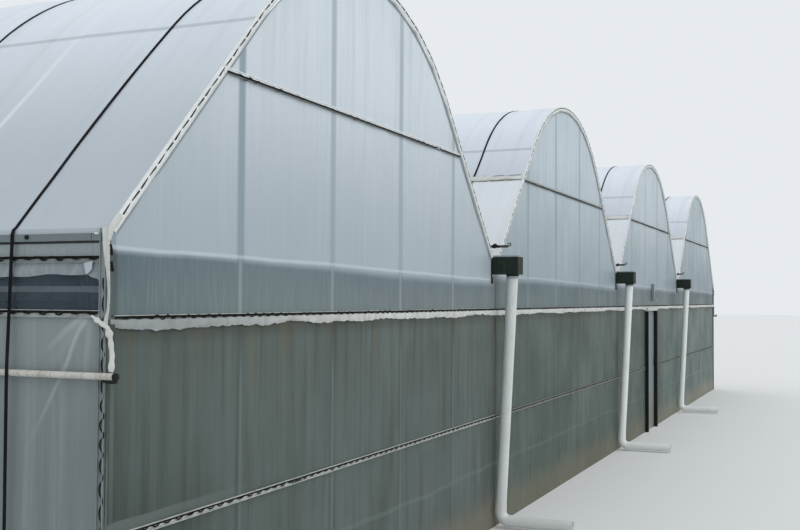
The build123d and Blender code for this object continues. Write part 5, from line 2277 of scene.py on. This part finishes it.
    def build_brackets(self) -> None:
        """Make the dark strip beside each outlet box, which ties the two arches' feet together."""
        shape = Shape()
        half = (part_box("gutter_boxes_front")[1].x - PLAN.valleys[-1]) - 0.008
        for valley in PLAN.valleys:
            for end in End:
                sides = sorted([end.value * (PLAN.face + 0.0008), end.value * (PLAN.face + 0.009)])
                shape.block((valley - half - 0.022, sides[0], PLAN.gutter_top - 0.215),
                            (valley - half - 0.0095, sides[1], PLAN.gutter_top - 0.045))
                shape.block((valley - half - 0.016, sides[0], PLAN.gutter_top - 0.28),
                            (valley - half + 0.03, sides[1], PLAN.gutter_top - 0.215))
        shape.make("arch_foot_brackets", Slot.DARK, self.finishes.dark)


@dataclass
class Door:
    """The film on the door leaf.

    Args:
        finishes: the materials.
    """

    finishes: Finishes

    def build(self) -> None:
        """Make the film on the leaf, pulled a little in between the rails."""
        low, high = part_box("door_film")
        x = np.linspace(low.x, high.x, 31)
        z = np.linspace(low.z, high.z, 51)
        hold_x = np.sin(np.pi * np.linspace(0, 1, 31))[:, None]
        hold_z = np.sin(np.pi * np.linspace(0, 1, 51))[None]
        out = -0.0005 + 0.0006 * hold_x * hold_z * waves(x[:, None], z[None] * 0.3, 0.3, 700)
        shape = Shape()
        outer = grid(x[:, None], low.y - out, z[None])
        shape.slab(outer, outer + [0, TOUGH_FILM, 0])
        piece = shape.make("stretched_door_film", Slot.DOOR_FILM, self.finishes.door_film, Body.DOOR)
        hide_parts("door_film")
        bar = Shape()
        middle = (low.x + high.x) / 2 + 0.18
        bar.block((middle - 0.02, -PLAN.face - 0.048, 2.26), (middle + 0.02, -PLAN.face - 0.0008, 2.54))
        bar.block((middle - 0.04, -PLAN.face - 0.075, 2.235), (middle + 0.06, -PLAN.face - 0.0008, 2.259))
        bar.make("bar_above_door", Slot.SHEET, self.finishes.door_steel)


@dataclass
class Studio:
    """Camera at the photograph's viewing angle, soft light and a pale floor.

    Args:
        place: where the camera stands.
        yaw: turn of the view from +X towards +Y.
        pitch: how far it looks up.
        roll: how far it leans.
        lens: focal length in millimetres.
    """

    place: tuple[float, float, float] = (-16.194, -10.823, 2.258)
    yaw: float = 0.40107
    pitch: float = 0.03131
    roll: float = 0.00601
    lens: float = 48.15

    def build_camera(self) -> None:
        """Set up the camera."""
        ahead = Vector((math.cos(self.yaw) * math.cos(self.pitch), math.sin(self.yaw) * math.cos(self.pitch),
                        math.sin(self.pitch)))
        level = Vector((math.sin(self.yaw), -math.cos(self.yaw), 0))
        over = level.cross(ahead)
        right = level * math.cos(self.roll) + over * math.sin(self.roll)
        up = over * math.cos(self.roll) - level * math.sin(self.roll)
        data = bpy.data.cameras.new("camera")
        data.lens = self.lens
        data.sensor_width = 36.0
        data.clip_end = 400
        camera = bpy.data.objects.new("camera", data)
        camera.matrix_world = Matrix.Translation(self.place) @ Matrix((right, up, -ahead)).transposed().to_4x4()
        bpy.context.scene.collection.objects.link(camera)
        bpy.context.scene.camera = camera

    def build_light(self) -> None:
        """Set up an even sky and a weak, soft sun."""
        world = bpy.data.worlds.new("overcast_sky")
        world.use_nodes = True
        bpy.context.scene.world = world
        graph = Graph(world.node_tree)
        background = world.node_tree.nodes["Background"]
        graph.feed(background.inputs["Color"], SKY)
        rays = graph.node("ShaderNodeLightPath")
        seen = graph.math("ADD", rays.outputs["Is Camera Ray"], rays.outputs["Is Transmission Ray"], clamp=True)
        graph.feed(background.inputs["Strength"], graph.blend(seen, 0.92, 0.86))
        data = bpy.data.lights.new("soft_sun", "SUN")
        data.energy = 0.7
        data.angle = math.radians(50)
        sun = bpy.data.objects.new("soft_sun", data)
        sun.rotation_euler = (math.radians(42), math.radians(-22), 0)
        bpy.context.scene.collection.objects.link(sun)

    def build_floor(self) -> None:
        """Make the pale floor, which isn't part of the house."""
        material, _, shader = new_material("pale_floor")
        shader.inputs["Base Color"].default_value = (0.72, 0.725, 0.72, 1)
        shader.inputs["Roughness"].default_value = 0.9
        mesh = bpy.data.meshes.new("floor")
        far = 160.0
        mesh.from_pydata([(-far, -far, -0.001), (far, -far, -0.001), (far, far, -0.001), (-far, far, -0.001)],
                         [], [(0, 1, 2, 3)])
        mesh.materials.append(material)
        floor = bpy.data.objects.new("floor", mesh)
        bpy.context.scene.collection.objects.link(floor)

    def build(self) -> None:
        """Set up everything around the house."""
        self.build_camera()
        self.build_light()
        self.build_floor()
        bpy.context.scene.view_settings.view_transform = "Standard"


def main() -> None:
    """Build the scene."""
    logging.basicConfig(level=logging.INFO, format="%(message)s")
    Studio().build()
    finishes = Finishes()
    SteelFrame(finishes).dress()
    RoofCover(finishes).build()
    for end in End:
        GableCover(finishes, end).build()
    SpringWire(finishes).build()
    for side in Side:
        SideWall(finishes, side).build()
    RainWater(finishes).build()
    Door(finishes).build()


if __name__ == "__main__":
    main()
